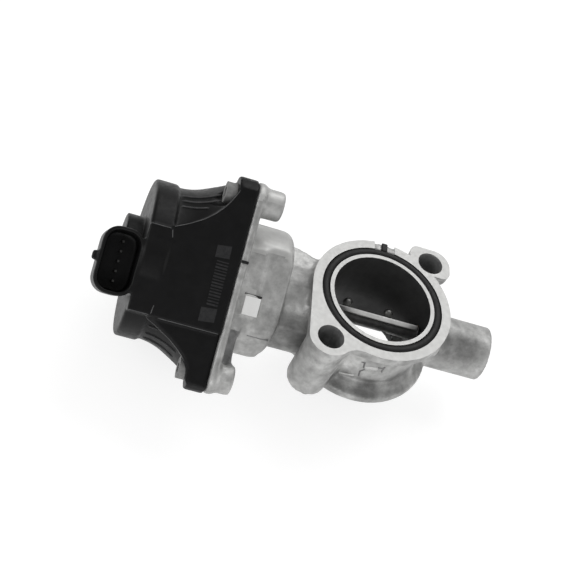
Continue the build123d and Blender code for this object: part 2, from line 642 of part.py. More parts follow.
with BuildPart() as flap_screws:
    with BuildSketch(flap_plane(FLAT_H + FLAP_T)):
        with Locations((FLAP_SCREW_X[0], 0), (FLAP_SCREW_X[1], 0)):
            Circle(FLAP_HEAD_R)
    extrude(amount=FLAP_HEAD_H)
    fillet(flap_screws.faces().sort_by(Axis(tuple(SHAFT_POINT), tuple(flap_plane(0).z_dir)))[-2:].edges(),
           FLAP_HEAD_R * 0.6)
    with BuildSketch(flap_plane(FLAT_H + FLAP_T)):
        with Locations((FLAP_SCREW_X[0], 0), (FLAP_SCREW_X[1], 0)):
            Circle(FLAP_SHANK_R)
    extrude(amount=-FLAT_H - FLAP_T - SHAFT_R + 0.6)
finish(flap_screws, "flap_screws")

# ================================================================ cover screws and sleeves
with BuildPart() as cover_screws:
    with BuildSketch(across(SEAT_X)):
        with Locations(*SCREW_PLACES):
            Circle(COVER_HEAD_R)
    extrude(amount=-COVER_HEAD_H)
    with BuildSketch(across(SEAT_X)):
        with Locations(*SCREW_PLACES):
            Circle(COVER_SCREW_R)
    extrude(amount=COVER_SCREW_L)
    with BuildSketch(across(SEAT_X - COVER_HEAD_H)):
        with Locations(*SCREW_PLACES):
            RegularPolygon(COVER_HEX_R, 6)
    extrude(amount=COVER_HEAD_H * 0.6, mode=Mode.SUBTRACT)
finish(cover_screws, "cover_screws")

with BuildPart() as screw_sleeves:
    with BuildSketch(across(SEAT_X)):
        with Locations(*SCREW_PLACES):
            Circle(SLEEVE_R)
            Circle(COVER_SCREW_R + FIT_GAP, mode=Mode.SUBTRACT)
    extrude(amount=JOINT_X - SEAT_X)
finish(screw_sleeves, "screw_sleeves")

# ================================================================ torque motor
with BuildPart() as stator_core:
    with BuildSketch(across(CORE_X[0])):
        Circle(MOTOR_R - FIT_GAP)
        Circle(MOTOR_R - FIT_GAP - YOKE_W, mode=Mode.SUBTRACT)
        with PolarLocations((SHOE_R + MOTOR_R - YOKE_W / 2) / 2, POLE_COUNT):
            Rectangle(MOTOR_R - YOKE_W / 2 - SHOE_R, POLE_W)
        for pole in range(POLE_COUNT):
            with BuildLine():
                a = radians(360 / POLE_COUNT * pole - SHOE_HALF_ANGLE)
                m = radians(360 / POLE_COUNT * pole)
                b = radians(360 / POLE_COUNT * pole + SHOE_HALF_ANGLE)
                out = SHOE_R + SHOE_T
                ThreePointArc((SHOE_R * cos(a), SHOE_R * sin(a)), (SHOE_R * cos(m), SHOE_R * sin(m)),
                              (SHOE_R * cos(b), SHOE_R * sin(b)))
                Line((SHOE_R * cos(b), SHOE_R * sin(b)), (out * cos(b), out * sin(b)))
                ThreePointArc((out * cos(b), out * sin(b)), (out * cos(m), out * sin(m)),
                              (out * cos(a), out * sin(a)))
                Line((out * cos(a), out * sin(a)), (SHOE_R * cos(a), SHOE_R * sin(a)))
            make_face()
        Circle(SHOE_R, mode=Mode.SUBTRACT)
    extrude(amount=CORE_X[1] - CORE_X[0])
finish(stator_core, "stator_core")

with BuildPart() as stator_coils:
    for pole in range(POLE_COUNT):
        angle = 360 / POLE_COUNT * pole
        outward = U_DIR * cos(radians(angle)) + F_DIR * sin(radians(angle))
        middle = (CORE_X[0] + CORE_X[1]) / 2
        with BuildSketch(Plane(origin=SHAFT_POINT + Vector(middle, 0, 0) + outward * COIL_R[0],
                               x_dir=(1, 0, 0), z_dir=outward)):
            hole_l = CORE_X[1] - CORE_X[0] + 2 * COIL_GAP
            hole_w = POLE_W + 2 * COIL_GAP
            RectangleRounded(hole_l + 2 * COIL_W, hole_w + 2 * COIL_W, COIL_W)
            Rectangle(hole_l, hole_w, mode=Mode.SUBTRACT)
        extrude(amount=COIL_R[1] - COIL_R[0])
finish(stator_coils, "stator_coils")

finish(ring(HUB_X[0], HUB_X[1], SHAFT_R + FIT_GAP, MAGNET_R[0]), "rotor_hub")

with BuildPart() as rotor_magnets:
    with BuildSketch(across(CORE_X[0])):
        for pole in range(POLE_COUNT):
            with BuildLine():
                a = radians(360 / POLE_COUNT * (pole + 0.5) - MAGNET_ANGLE / 2)
                m = radians(360 / POLE_COUNT * (pole + 0.5))
                b = radians(360 / POLE_COUNT * (pole + 0.5) + MAGNET_ANGLE / 2)
                inner = MAGNET_R[0] + FIT_GAP
                out = MAGNET_R[1]
                ThreePointArc((inner * cos(a), inner * sin(a)), (inner * cos(m), inner * sin(m)),
                              (inner * cos(b), inner * sin(b)))
                Line((inner * cos(b), inner * sin(b)), (out * cos(b), out * sin(b)))
                ThreePointArc((out * cos(b), out * sin(b)), (out * cos(m), out * sin(m)),
                              (out * cos(a), out * sin(a)))
                Line((out * cos(a), out * sin(a)), (inner * cos(a), inner * sin(a)))
            make_face()
    extrude(amount=CORE_X[1] - CORE_X[0])
finish(rotor_magnets, "rotor_magnets")

# ================================================================ position sensor
with BuildPart() as sensor_board:
    with BuildSketch(across(DRUM_END_X + END_WALL)):
        Circle(BOARD_R)
    extrude(amount=BOARD_T)
finish(sensor_board, "sensor_board")

with BuildPart() as sensor_chip:
    with BuildSketch(across(DRUM_END_X + END_WALL + BOARD_T)):
        Rectangle(CHIP_W, CHIP_W)
    extrude(amount=CHIP_T)
finish(sensor_chip, "sensor_chip")

with BuildPart() as sensor_magnet:
    with BuildSketch(across(SHAFT_END_X[0] - SENSE_MAGNET_T)):
        Circle(SENSE_MAGNET_R)
    extrude(amount=SENSE_MAGNET_T)
finish(sensor_magnet, "sensor_magnet")

with BuildPart() as connector_pins:
    add(connector_pin_row(PIN_W))
finish(connector_pins, "connector_pins")

# ================================================================ return spring and stops
finish(ring(CARRIER_X[0], CARRIER_X[1], SHAFT_R + FIT_GAP, CARRIER_R), "spring_carrier")

with BuildPart() as stop_lever:
    with BuildSketch(across(CARRIER_X[1])):
        Circle(CARRIER_R)
        with Locations((LEVER_TIP_R / 2, 0)):
            Rectangle(LEVER_TIP_R, LEVER_W)
        Circle(SHAFT_R + FIT_GAP, mode=Mode.SUBTRACT)
    extrude(amount=LEVER_T)
finish(stop_lever, "stop_lever")

with BuildPart() as stop_pins:
    half = degrees_of_stop()
    with BuildSketch(across(POT_FLOOR_X)):
        for angle in (OPEN_ANGLE - half, CLOSED_ANGLE + half):
            with Locations((STOP_PIN_AT_R * cos(radians(angle)), STOP_PIN_AT_R * sin(radians(angle)))):
                Circle(STOP_PIN_R)
    extrude(amount=CARRIER_X[1] - POT_FLOOR_X)
finish(stop_pins, "stop_pins")

with BuildPart() as return_spring:
    with BuildLine() as coil:
        Helix(SPRING_PITCH, SPRING_PITCH * SPRING_TURNS, SPRING_R, center=(SPRING_X, 0, -AXIS_DROP),
              direction=(1, 0, 0))
    with BuildSketch(Plane(origin=coil.line @ 0, x_dir=(1, 0, 0), z_dir=coil.line % 0)):
        Rectangle(SPRING_WIRE, SPRING_WIRE)
    sweep(is_frenet=True)
    # tang that holds the spring's end against the housing
    outward = Vector(0, (coil.line @ 1).Y, (coil.line @ 1).Z + AXIS_DROP).normalized()
    with BuildSketch(Plane(origin=coil.line @ 1, x_dir=(1, 0, 0), z_dir=outward)):
        Rectangle(SPRING_WIRE, SPRING_WIRE)
    extrude(amount=POT_CAVITY_R - SPRING_R - FIT_GAP)
finish(return_spring, "return_spring")
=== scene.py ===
"""Studio scene of a flap type exhaust gas recirculation valve with a rotary actuator.

All places are in the object's own frame: the origin is the centre of the gas bore in
the upper flange face, +Z leaves that face, and +X runs along the flap shaft from the
actuator to the gas tube.  Meshes are in metres, and the sizes held by the classes are in
millimetres.  U and F are the actuator's own directions square to the shaft, so a place
(x, u, f) lies on the actuator.
"""
from __future__ import annotations

import json
import logging
from collections.abc import Iterator
from contextlib import contextmanager
from dataclasses import dataclass
from enum import Enum, IntEnum
from math import cos, pi, radians, sin

import bmesh
import bpy
import numpy as np
from mathutils import Matrix, Vector

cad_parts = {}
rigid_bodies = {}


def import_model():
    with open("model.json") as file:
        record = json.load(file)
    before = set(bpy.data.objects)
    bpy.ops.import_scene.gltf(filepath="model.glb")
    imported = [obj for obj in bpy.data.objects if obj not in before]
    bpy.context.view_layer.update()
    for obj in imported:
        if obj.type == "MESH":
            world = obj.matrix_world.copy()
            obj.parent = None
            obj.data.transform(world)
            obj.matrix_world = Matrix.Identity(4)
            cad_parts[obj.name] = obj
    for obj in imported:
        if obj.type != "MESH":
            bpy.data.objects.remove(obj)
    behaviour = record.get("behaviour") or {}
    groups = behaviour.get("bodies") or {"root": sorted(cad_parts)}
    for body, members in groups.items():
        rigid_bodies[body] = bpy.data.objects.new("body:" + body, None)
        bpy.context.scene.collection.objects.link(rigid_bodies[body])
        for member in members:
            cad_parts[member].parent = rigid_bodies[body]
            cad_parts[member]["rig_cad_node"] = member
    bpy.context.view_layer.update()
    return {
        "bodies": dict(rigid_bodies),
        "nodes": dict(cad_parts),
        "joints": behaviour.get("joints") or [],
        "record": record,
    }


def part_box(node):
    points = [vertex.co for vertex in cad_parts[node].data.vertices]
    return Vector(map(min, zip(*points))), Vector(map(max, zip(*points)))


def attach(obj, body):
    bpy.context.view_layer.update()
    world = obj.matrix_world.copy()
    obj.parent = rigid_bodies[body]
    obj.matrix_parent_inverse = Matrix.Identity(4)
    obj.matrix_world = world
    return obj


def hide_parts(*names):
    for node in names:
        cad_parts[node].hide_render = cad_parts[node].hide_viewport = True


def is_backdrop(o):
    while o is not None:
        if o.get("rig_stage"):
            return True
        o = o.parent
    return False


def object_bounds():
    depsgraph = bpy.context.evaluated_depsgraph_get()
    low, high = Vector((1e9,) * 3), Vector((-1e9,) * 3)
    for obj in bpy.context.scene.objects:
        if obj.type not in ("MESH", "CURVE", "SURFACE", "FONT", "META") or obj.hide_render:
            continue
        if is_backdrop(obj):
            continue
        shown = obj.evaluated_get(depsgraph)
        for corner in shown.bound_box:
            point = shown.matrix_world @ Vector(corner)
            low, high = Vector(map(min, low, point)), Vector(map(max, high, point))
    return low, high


log = logging.getLogger("egr_valve")

MM = 0.001
AXIS = np.array((0.0, 0.0, -15.8 * MM))  # point on the flap shaft's axis
ACT_TILT = radians(37.7)                 # turn of U from +Y towards +Z
U_DIR = np.array((0.0, cos(ACT_TILT), sin(ACT_TILT)))
F_DIR = np.array((0.0, -sin(ACT_TILT), cos(ACT_TILT)))
X_DIR = np.array((1.0, 0.0, 0.0))
Y_DIR = np.array((0.0, 1.0, 0.0))
Z_DIR = np.array((0.0, 0.0, 1.0))
ORIGIN = np.zeros(3)

# camera, solved once for the view: rows are its right, up and backward directions
CAMERA_AXES = ((0.9416, 0.0686, 0.3296), (-0.2620, 0.7641, 0.5895), (-0.2114, -0.6415, 0.7375))
CAMERA_SHIFT = (38.41 * MM, -4.26 * MM, -488.4 * MM)
CAMERA_FOCAL = 1207.9                    # focal length in widths of a pixel
PICTURE_WIDTH = 576
SENSOR_WIDTH = 36.0

SAME_POINT = 1e-7                        # corners of a new piece nearer than this are one, in metres
SAME_CORNER = 1e-6                       # the same for corners of a CAD node
RIDGE_FADE = (-0.02, 0.12)               # shares of a ridge's length between which its ends rise
WHITE = (1.0, 1.0, 1.0, 1.0)

Pair = tuple[float, float]
Triple = tuple[float, float, float]
Piece = bpy.types.Object
Socket = bpy.types.NodeSocket


# ---------------------------------------------------------------- places
def to_act(points: np.ndarray) -> np.ndarray:
    """Coordinates (x, u, f) in millimetres of points given in metres."""
    shifted = points - AXIS
    return np.stack((shifted @ X_DIR, shifted @ U_DIR, shifted @ F_DIR), axis=1) / MM


def from_act(places: np.ndarray) -> np.ndarray:
    """Points in metres of coordinates (x, u, f) in millimetres."""
    return (places @ np.stack((X_DIR, U_DIR, F_DIR))) * MM + AXIS


def walked(places: tuple, count: int) -> np.ndarray:
    """Places along straight lines from each given place to the next.

    Args:
        places: places to pass through, each of the same number of values.
        count: how many places to return, at even shares of the walk.

    Returns:
        Array of shape (count, values of a place).
    """
    places = np.array(places)
    steps = np.linspace(0.0, len(places) - 1.0, count)
    return np.stack([np.interp(steps, np.arange(len(places)), column) for column in places.T], axis=1)


def square_to(path: np.ndarray, up: np.ndarray) -> np.ndarray:
    """Unit direction along a path, times the direction away from its surface.

    Args:
        path: points, shape (n, 3).
        up: unit vectors away from the surface, shape (n, 3) or (3,).

    Returns:
        Directions across the path, shape (n, 3).
    """
    along = np.gradient(path, axis=0)
    return np.cross(along / np.linalg.norm(along, axis=1)[:, None], up)


def smooth_step(values: np.ndarray, low: float, high: float) -> np.ndarray:
    """Cubic ramp from 0 at low to 1 at high: t squared times (3 - 2t)."""
    t = np.clip((values - low) / (high - low), 0.0, 1.0)
    return t * t * (3.0 - 2.0 * t)


# ---------------------------------------------------------------- finishes
class Pattern(Enum):
    """Named kinds of fine relief."""

    CAST = "cast"
    MOULDED = "moulded"
    TURNED = "turned"
    BRUSHED = "brushed"
    WOUND = "wound"


class Wiring:
    """Node tree under construction."""

    def __init__(self, tree: bpy.types.NodeTree) -> None:
        """Take up this tree."""
        self.tree = tree

    def fill(self, node: bpy.types.Node, inputs: dict) -> bpy.types.Node:
        """Link or set inputs of a node.

        Args:
            node: node to fill.
            inputs: socket or value for each input's name or number.

        Returns:
            The same node.
        """
        for key, value in inputs.items():
            if isinstance(value, Socket):
                self.tree.links.new(value, node.inputs[key])
            else:
                node.inputs[key].default_value = value
        return node

    def node(self, kind: str, inputs: dict, operation: str = "") -> bpy.types.Node:
        """Add a node.

        Args:
            kind: type of the node, without its leading ShaderNode.
            inputs: socket or value for each input's name or number.
            operation: what it works out, where it offers a choice.

        Returns:
            The new node.
        """
        node = self.tree.nodes.new(f"ShaderNode{kind}")
        if operation:
            node.operation = operation
        return self.fill(node, inputs)

    def math(self, kind: str, first: Socket, second: Socket | float) -> Socket:
        """Result of one math operation on a socket and a socket or number."""
        return self.node("Math", {0: first, 1: second}, kind).outputs[0]


class Shader(Wiring):
    """One node material under construction."""

    def __init__(self, name: str) -> None:
        """Start a principled material.

        Args:
            name: material name.
        """
        self.material = bpy.data.materials.new(name)
        self.material.use_nodes = True
        super().__init__(self.material.node_tree)
        self.surface = self.tree.nodes["Principled BSDF"]
        self.place = self.node("TexCoord", {}).outputs["Object"]

    def stretched(self, scale: Triple) -> Socket:
        """Object coordinates multiplied by this scale along X, Y and Z."""
        return self.node("Mapping", {"Scale": scale, "Vector": self.place}).outputs["Vector"]

    def noise(self, scale: float, detail: float = 4.0, rough: float = 0.55,
              place: Socket | None = None) -> Socket:
        """Fractal noise.

        Args:
            scale: cells in a metre.
            detail: number of finer and finer layers.
            rough: strength of each layer beside the one before.
            place: coordinates to read, or none for the object's own.

        Returns:
            Socket of the noise.
        """
        inputs = {"Scale": scale, "Detail": detail, "Roughness": rough, "Vector": place or self.place}
        return self.node("TexNoise", inputs).outputs["Fac"]

    def spread(self, source: Socket, low: float, high: float, start: float = 0.3, end: float = 0.7) -> Socket:
        """Straight ramp between two values.

        Args:
            source: socket that drives the ramp.
            low: value at its start.
            high: value at its end.
            start: value of the source at the ramp's start.
            end: value of the source at its end.

        Returns:
            Socket of the ramp.
        """
        inputs = {"From Min": start, "From Max": end, "To Min": low, "To Max": high, "Value": source}
        return self.node("MapRange", inputs).outputs["Result"]

    def tones(self, source: Socket, first: Triple, second: Triple) -> Socket:
        """Colour between two tones.

        Args:
            source: share of the second tone.
            first: tone at 0.
            second: tone at 1.

        Returns:
            Socket of the colour.
        """
        node = self.tree.nodes.new("ShaderNodeMix")
        node.data_type = "RGBA"
        inputs = {"A": (*first, 1.0), "B": (*second, 1.0), "Factor": source}
        return self.fill(node, inputs).outputs["Result"]

    def nearness(self, place: Triple, reach: float) -> Socket:
        """Share that is 1 up to 0.4 of a reach from a place, and falls to 0 at the reach.

        Args:
            place: centre in millimetres.
            reach: distance in millimetres.

        Returns:
            Socket of the share.
        """
        centre = tuple(value * MM for value in place)
        distance = self.node("VectorMath", {0: self.place, 1: centre}, "DISTANCE").outputs["Value"]
        return self.spread(distance, 1.0, 0.0, 0.4 * reach * MM, reach * MM)

    def scaled(self, tone: Socket, factor: Socket) -> Socket:
        """Colour multiplied by a factor."""
        return self.node("VectorMath", {0: tone, "Scale": factor}, "SCALE").outputs["Vector"]

    def rings(self, scale: float, axis: str) -> Socket:
        """Fine, slightly wavy rings about an axis through the object's origin.

        Args:
            scale: how close the rings lie.
            axis: X, Y or Z.

        Returns:
            Socket of the rings' height.
        """
        node = self.tree.nodes.new("ShaderNodeTexWave")
        node.wave_type = "RINGS"
        node.rings_direction = axis
        inputs = {"Scale": scale, "Distortion": 0.6, "Detail": 2.0, "Vector": self.place}
        return self.fill(node, inputs).outputs["Fac"]

    def relief(self, height: Socket, distance: float, under: Socket | None = None) -> Socket:
        """Bumped normal.

        Args:
            height: socket of the bumps' height, from 0 to 1.
            distance: height of the highest bump in metres.
            under: coarser normal that these bumps lie on.

        Returns:
            Socket of the normal.
        """
        inputs = {"Strength": 1.0, "Distance": distance, "Height": height}
        if under is not None:
            inputs["Normal"] = under
        return self.node("Bump", inputs).outputs["Normal"]


@dataclass(frozen=True)
class Finish:
    """Look of one surface: two tones, gloss and a fine relief.

    Attributes:
        name: material name.
        dark: tone in the hollows of the mottling.
        light: tone on its highs.
        metallic: 1 for bare metal.
        rough: lowest and highest roughness.
        mottle: cells of the mottling in a metre.
        grain: cells of the relief in a metre.
        depth: height of the relief in metres.
        pattern: kind of relief.
        stain: how much broad stains darken the tone, 0 to 1.
        specular: specular level of the surface.
        painted_patches: places where the tones are darkened as painted shade, or lightened, each a place
        and a reach in millimetres and the factor on the tones there.
        stain_breadth: cells of the mottling across one stain.
        specks: specks across one cell of the mottling.
        sheens: changes of gloss across one cell of the mottling.
        swell: cells of the grain across one swell of a cast skin.
        swell_height: height of a swell beside the grain's.
        brushing: scale along X, Y and Z that draws the grain out into brushed lines.
    """

    name: str
    dark: Triple
    light: Triple
    metallic: float
    rough: Pair
    mottle: float
    grain: float
    depth: float
    pattern: Pattern = Pattern.CAST
    stain: float = 0.0
    specular: float = 0.5
    painted_patches: tuple[tuple[Triple, float, float], ...] = ()
    stain_breadth: float = 4.5
    specks: float = 3.5
    sheens: float = 2.3
    swell: float = 6.0
    swell_height: float = 4.0
    brushing: Triple = (0.05, 1.0, 1.0)

    def material(self) -> bpy.types.Material:
        """Build the node material, or return it if it is there already."""
        name = f"{self.name}_finish"
        if name in bpy.data.materials:
            return bpy.data.materials[name]
        shader = Shader(name)
        tone = shader.spread(shader.noise(self.mottle, detail=6.0, rough=0.6), 0.0, 1.0)
        if self.stain > 0.0:
            clean = 1.0 - self.stain
            broad = shader.noise(self.mottle / self.stain_breadth, rough=0.6)
            fine = shader.noise(self.mottle * self.specks, detail=3.0, rough=0.7)
            grime = shader.math("MULTIPLY", shader.spread(broad, clean, 1.0, 0.35, 0.6),
                                shader.spread(fine, clean, 1.0, 0.3, 0.5))
            tone = shader.math("MULTIPLY", tone, grime)
        colour = shader.tones(tone, self.dark, self.light)
        # painted shade: the colour is scaled near each patch's place, darker where the factor is below 1
        for place, reach, strength in self.painted_patches:
            near = shader.math("MULTIPLY", shader.nearness(place, reach), strength - 1.0)
            colour = shader.scaled(colour, shader.math("ADD", near, 1.0))
        gloss = shader.spread(shader.noise(self.mottle * self.sheens), *self.rough)
        shader.fill(shader.surface, {"Metallic": self.metallic, "Specular IOR Level": self.specular,
                                     "Base Color": colour, "Roughness": gloss, "Normal": self.bump(shader)})
        return shader.material

    def bump(self, shader: Shader) -> Socket:
        """Normal of this finish's pattern.

        Args:
            shader: material under construction.

        Returns:
            The socket for the surface's normal.
        """
        if self.pattern is Pattern.TURNED:
            return shader.relief(shader.rings(self.grain, "Z"), self.depth)
        if self.pattern is Pattern.BRUSHED:
            lines = shader.noise(self.grain, 3.0, 0.6, shader.stretched(self.brushing))
            return shader.relief(lines, self.depth)
        if self.pattern is Pattern.WOUND:
            return shader.relief(shader.rings(self.grain, "X"), self.depth)
        fine = shader.relief(shader.noise(self.grain, detail=3.0, rough=0.6), self.depth)
        if self.pattern is Pattern.MOULDED:
            return fine
        swells = shader.noise(self.grain / self.swell, detail=3.0, rough=0.5)
        return shader.relief(swells, self.depth * self.swell_height, fine)


# painted shade, which darkens the tones under the neck, in the corner between neck and flange,
# on the gas tube's upper side, on the barrel's flank towards the tube, twice along the foot above
# the rim and between the pot and the upper screw boss, and a brighter place beside the broken gate
CAST_PAINTED_SHADE = (((-33.0, -17.0, -19.0), 14.0, 0.5), ((-32.9, -0.1, -1.8), 8.0, 0.6),
              ((42.0, 1.5, -18.0), 14.0, 0.6), ((17.0, -19.0, -22.0), 9.0, 0.6),
              ((-9.0, -27.0, -26.0), 8.0, 0.6), ((4.0, -27.0, -26.0), 8.5, 0.5),
              ((-54.0, 8.0, 12.0), 12.0, 0.7), ((-10.0, -28.0, -14.0), 10.0, 1.35))
CAST_ALUMINIUM = Finish("cast_aluminium", (0.30, 0.30, 0.295), (0.68, 0.68, 0.67), 0.75, (0.46, 0.62),
                        170.0, 1500.0, 0.00006, Pattern.CAST, 0.35, 0.5, CAST_PAINTED_SHADE)
SCUFFED_CASTING = Finish("scuffed_casting", (0.50, 0.50, 0.49), (0.72, 0.72, 0.71), 0.6, (0.5, 0.65),
                         400.0, 1200.0, 0.00008, Pattern.CAST, 0.25)
# painted highlight: a near-white non-metal tone, far lighter than the machined face, for the milled pad on
# the pot
MILLED_SPOT_HIGHLIGHT = Finish("milled_spot_highlight", (0.93, 0.93, 0.92), (0.98, 0.98, 0.97), 0.0, (0.45, 0.6),
                     350.0, 1400.0, 0.00001, Pattern.BRUSHED)
MACHINED_FACE = Finish("machined_face", (0.50, 0.50, 0.49), (0.58, 0.58, 0.57), 0.5, (0.42, 0.55),
                       300.0, 900.0, 0.000012, Pattern.TURNED)
BORED_WALL = Finish("bored_wall", (0.022, 0.022, 0.022), (0.036, 0.036, 0.036), 0.4, (0.5, 0.58),
                    200.0, 1200.0, 0.00002, Pattern.TURNED)
# painted shade: dark tones for the walls of the bolt holes and of the recess behind the plate, and for the
# cold laps and the pot's parting line
PAINTED_SHADE_WALL = Finish("painted_shade_wall", (0.15, 0.15, 0.15), (0.30, 0.30, 0.30), 0.3, (0.5, 0.65),
                   240.0, 1200.0, 0.00004, Pattern.TURNED)
BLACK_PLASTIC = Finish("black_plastic", (0.0042, 0.0042, 0.0044), (0.0072, 0.0072, 0.0075), 0.0,
                       (0.36, 0.5), 220.0, 2600.0, 0.00002, Pattern.MOULDED, 0.2, 0.16)
# painted highlight: pale plastic for the edge lines and the rib crests of the cover
PAINTED_HIGHLIGHT_PLASTIC = Finish("worn_plastic", (0.06, 0.06, 0.061), (0.13, 0.13, 0.132), 0.0, (0.45, 0.6),
                      500.0, 2600.0, 0.00002, Pattern.MOULDED, 0.3, 0.2)
MARKED_PLASTIC = Finish("marked_plastic", (0.018, 0.018, 0.019), (0.034, 0.034, 0.035), 0.0, (0.6, 0.75),
                        900.0, 3000.0, 0.00002, Pattern.MOULDED, 0.3, 0.2)
SEAL_RUBBER = Finish("seal_rubber", (0.004, 0.004, 0.004), (0.010, 0.010, 0.010), 0.0, (0.45, 0.6),
                     300.0, 2200.0, 0.00002, Pattern.MOULDED, 0.0, 0.3)
PLATED_STEEL = Finish("plated_steel", (0.20, 0.20, 0.198), (0.36, 0.36, 0.355), 0.6, (0.58, 0.72),
                      350.0, 1600.0, 0.00004, Pattern.MOULDED, 0.4)
BRIGHT_STEEL = Finish("bright_steel", (0.50, 0.50, 0.49), (0.62, 0.62, 0.61), 1.0, (0.25, 0.38),
                      250.0, 1800.0, 0.00002, Pattern.BRUSHED)
DARK_STEEL = Finish("dark_steel", (0.10, 0.10, 0.10), (0.22, 0.22, 0.21), 1.0, (0.32, 0.5),
                    250.0, 1600.0, 0.00002, Pattern.BRUSHED)
FLAP_STEEL = Finish("flap_steel", (0.50, 0.50, 0.49), (0.64, 0.64, 0.63), 0.6, (0.55, 0.68),
                    300.0, 1600.0, 0.00003, Pattern.BRUSHED, 0.2)
SHAFT_STEEL = Finish("shaft_steel", (0.30, 0.30, 0.295), (0.46, 0.46, 0.455), 0.6, (0.5, 0.62),
                     250.0, 1600.0, 0.00002, Pattern.BRUSHED)
# painted shade: the tin-plated connector pins get near-black tones
PAINTED_SHADE_PIN = Finish("painted_shade_pin", (0.035, 0.035, 0.034), (0.06, 0.06, 0.058), 0.9, (0.4, 0.5),
                    350.0, 1600.0, 0.00002, Pattern.MOULDED)
BRONZE = Finish("bearing_bronze", (0.46, 0.30, 0.12), (0.60, 0.42, 0.20), 1.0, (0.3, 0.45),
                300.0, 1500.0, 0.00002, Pattern.BRUSHED)
MOTOR_STEEL = Finish("motor_steel", (0.09, 0.09, 0.10), (0.16, 0.16, 0.17), 0.7, (0.4, 0.55),
                     300.0, 1300.0, 0.00004, Pattern.WOUND)
COPPER_WIRE = Finish("copper_wire", (0.42, 0.16, 0.07), (0.60, 0.28, 0.14), 0.9, (0.25, 0.4),
                     260.0, 500.0, 0.00015, Pattern.WOUND)
MAGNET = Finish("magnet", (0.17, 0.17, 0.18), (0.24, 0.24, 0.25), 0.8, (0.35, 0.5),
                260.0, 1500.0, 0.00002, Pattern.MOULDED)
CIRCUIT_BOARD = Finish("circuit_board", (0.015, 0.08, 0.035), (0.04, 0.15, 0.07), 0.0, (0.2, 0.35),
                       400.0, 1500.0, 0.00002, Pattern.MOULDED)

SLOT_FINISH = {
    "cast_aluminium": CAST_ALUMINIUM, "black_plastic": BLACK_PLASTIC, "seal_rubber": SEAL_RUBBER,
    "plated_steel": PLATED_STEEL, "bright_steel": BRIGHT_STEEL, "dark_steel": DARK_STEEL,
    "bearing_bronze": BRONZE, "motor_steel": MOTOR_STEEL, "copper_wire": COPPER_WIRE, "magnet": MAGNET,
    "circuit_board": CIRCUIT_BOARD,
}
NODE_FINISH = {"connector_pins": PAINTED_SHADE_PIN, "flap_screws": DARK_STEEL, "flap_shaft": SHAFT_STEEL,
               "flap_plate": FLAP_STEEL}


# ---------------------------------------------------------------- mesh tools
@contextmanager
def edited(mesh: bpy.types.Mesh) -> Iterator[bmesh.types.BMesh]:
    """Open a mesh for changes and write it back afterwards.

    Args:
        mesh: mesh to change.

    Returns:
        The open mesh.
    """
    work = bmesh.new()
    work.from_mesh(mesh)
    yield work
    work.to_mesh(mesh)
    work.free()


def placed(name: str, data: bpy.types.ID) -> Piece:
    """New object in the scene, at the origin.

    Args:
        name: object name.
        data: its mesh, light or camera.

    Returns:
        The new object.
    """
    piece = bpy.data.objects.new(name, data)
    bpy.context.scene.collection.objects.link(piece)
    return piece


def new_piece(name: str, points: np.ndarray, faces: list, smooth: bool = True) -> Piece:
    """Mesh object at the origin.

    Args:
        name: object name.
        points: places of its vertices in metres, shape (n, 3).
        faces: vertex indices of each face.
        smooth: shade the faces smooth.

    Returns:
        The new object.
    """
    mesh = bpy.data.meshes.new(name)
    mesh.from_pydata(points, [], faces)
    mesh.polygons.foreach_set("use_smooth", np.full(len(mesh.polygons), smooth))
    mesh.update()
    return placed(name, mesh)


def closed_piece(name: str, points: np.ndarray, faces: list, smooth: bool = True) -> Piece:
    """Mesh object at the origin with its doubles merged and its faces pointing outwards.

    Args:
        name: object name.
        points: places of its vertices in metres, shape (n, 3).
        faces: vertex indices of each face, which close the surface.
        smooth: shade the faces smooth.

    Returns:
        The new object.
    """
    piece = new_piece(name, points, faces, smooth)
    with edited(piece.data) as mesh:
        bmesh.ops.remove_doubles(mesh, verts=mesh.verts, dist=SAME_POINT)
        bmesh.ops.recalc_face_normals(mesh, faces=mesh.faces)
    return piece


def grid_faces(rows: int, columns: int, close_rows: bool, close_columns: bool) -> list:
    """Quads between neighbouring points of a grid.

    Args:
        rows: rows of points.
        columns: points in a row.
        close_rows: join the last row to the first.
        close_columns: join the last point of each row to its first.

    Returns:
        Four point numbers for each quad.
    """
    row = np.arange(rows if close_rows else rows - 1)
    column = np.arange(columns if close_columns else columns - 1)
    r, c = np.meshgrid(row, column, indexing="ij")
    r2, c2 = (r + 1) % rows, (c + 1) % columns
    quads = np.stack((r * columns + c, r * columns + c2, r2 * columns + c2, r2 * columns + c), axis=-1)
    return quads.reshape(-1, 4).tolist()


def turned(name: str, profile: np.ndarray, centre: np.ndarray, across: np.ndarray, other: np.ndarray,
           steps: int) -> Piece:
    """Closed profile of (radius, height) in millimetres turned about an axis.

    A point is centre + radius (across cos a + other sin a) + height (across x other),
    for the angle a round the axis.

    Args:
        name: object name.
        profile: closed outline, shape (n, 2), anticlockwise in radius and height.
        centre: point on the axis in metres.
        across: unit vector square to the axis.
        other: unit vector square to both.
        steps: copies of the profile round the axis.

    Returns:
        The new object.
    """
    axis = np.cross(across, other)
    angle = np.linspace(0.0, 2.0 * pi, steps, endpoint=False)
    spoke = np.cos(angle)[:, None] * across + np.sin(angle)[:, None] * other
    points = profile[None, :, :1] * spoke[:, None, :] + profile[None, :, 1:] * axis
    faces = grid_faces(steps, len(profile), True, True)
    return closed_piece(name, (points * MM + centre).reshape(-1, 3), faces)


def merged_copy(node: Piece, name: str) -> Piece:
    """Copy of a CAD node's mesh with its loose triangles joined at their corners.

    Args:
        node: CAD node.
        name: name of the copy.

    Returns:
        The new object, without materials.
    """
    mesh = node.data.copy()
    mesh.materials.clear()
    mesh.name = name
    with edited(mesh) as work:
        bmesh.ops.remove_doubles(work, verts=work.verts, dist=SAME_CORNER)
    return placed(name, mesh)


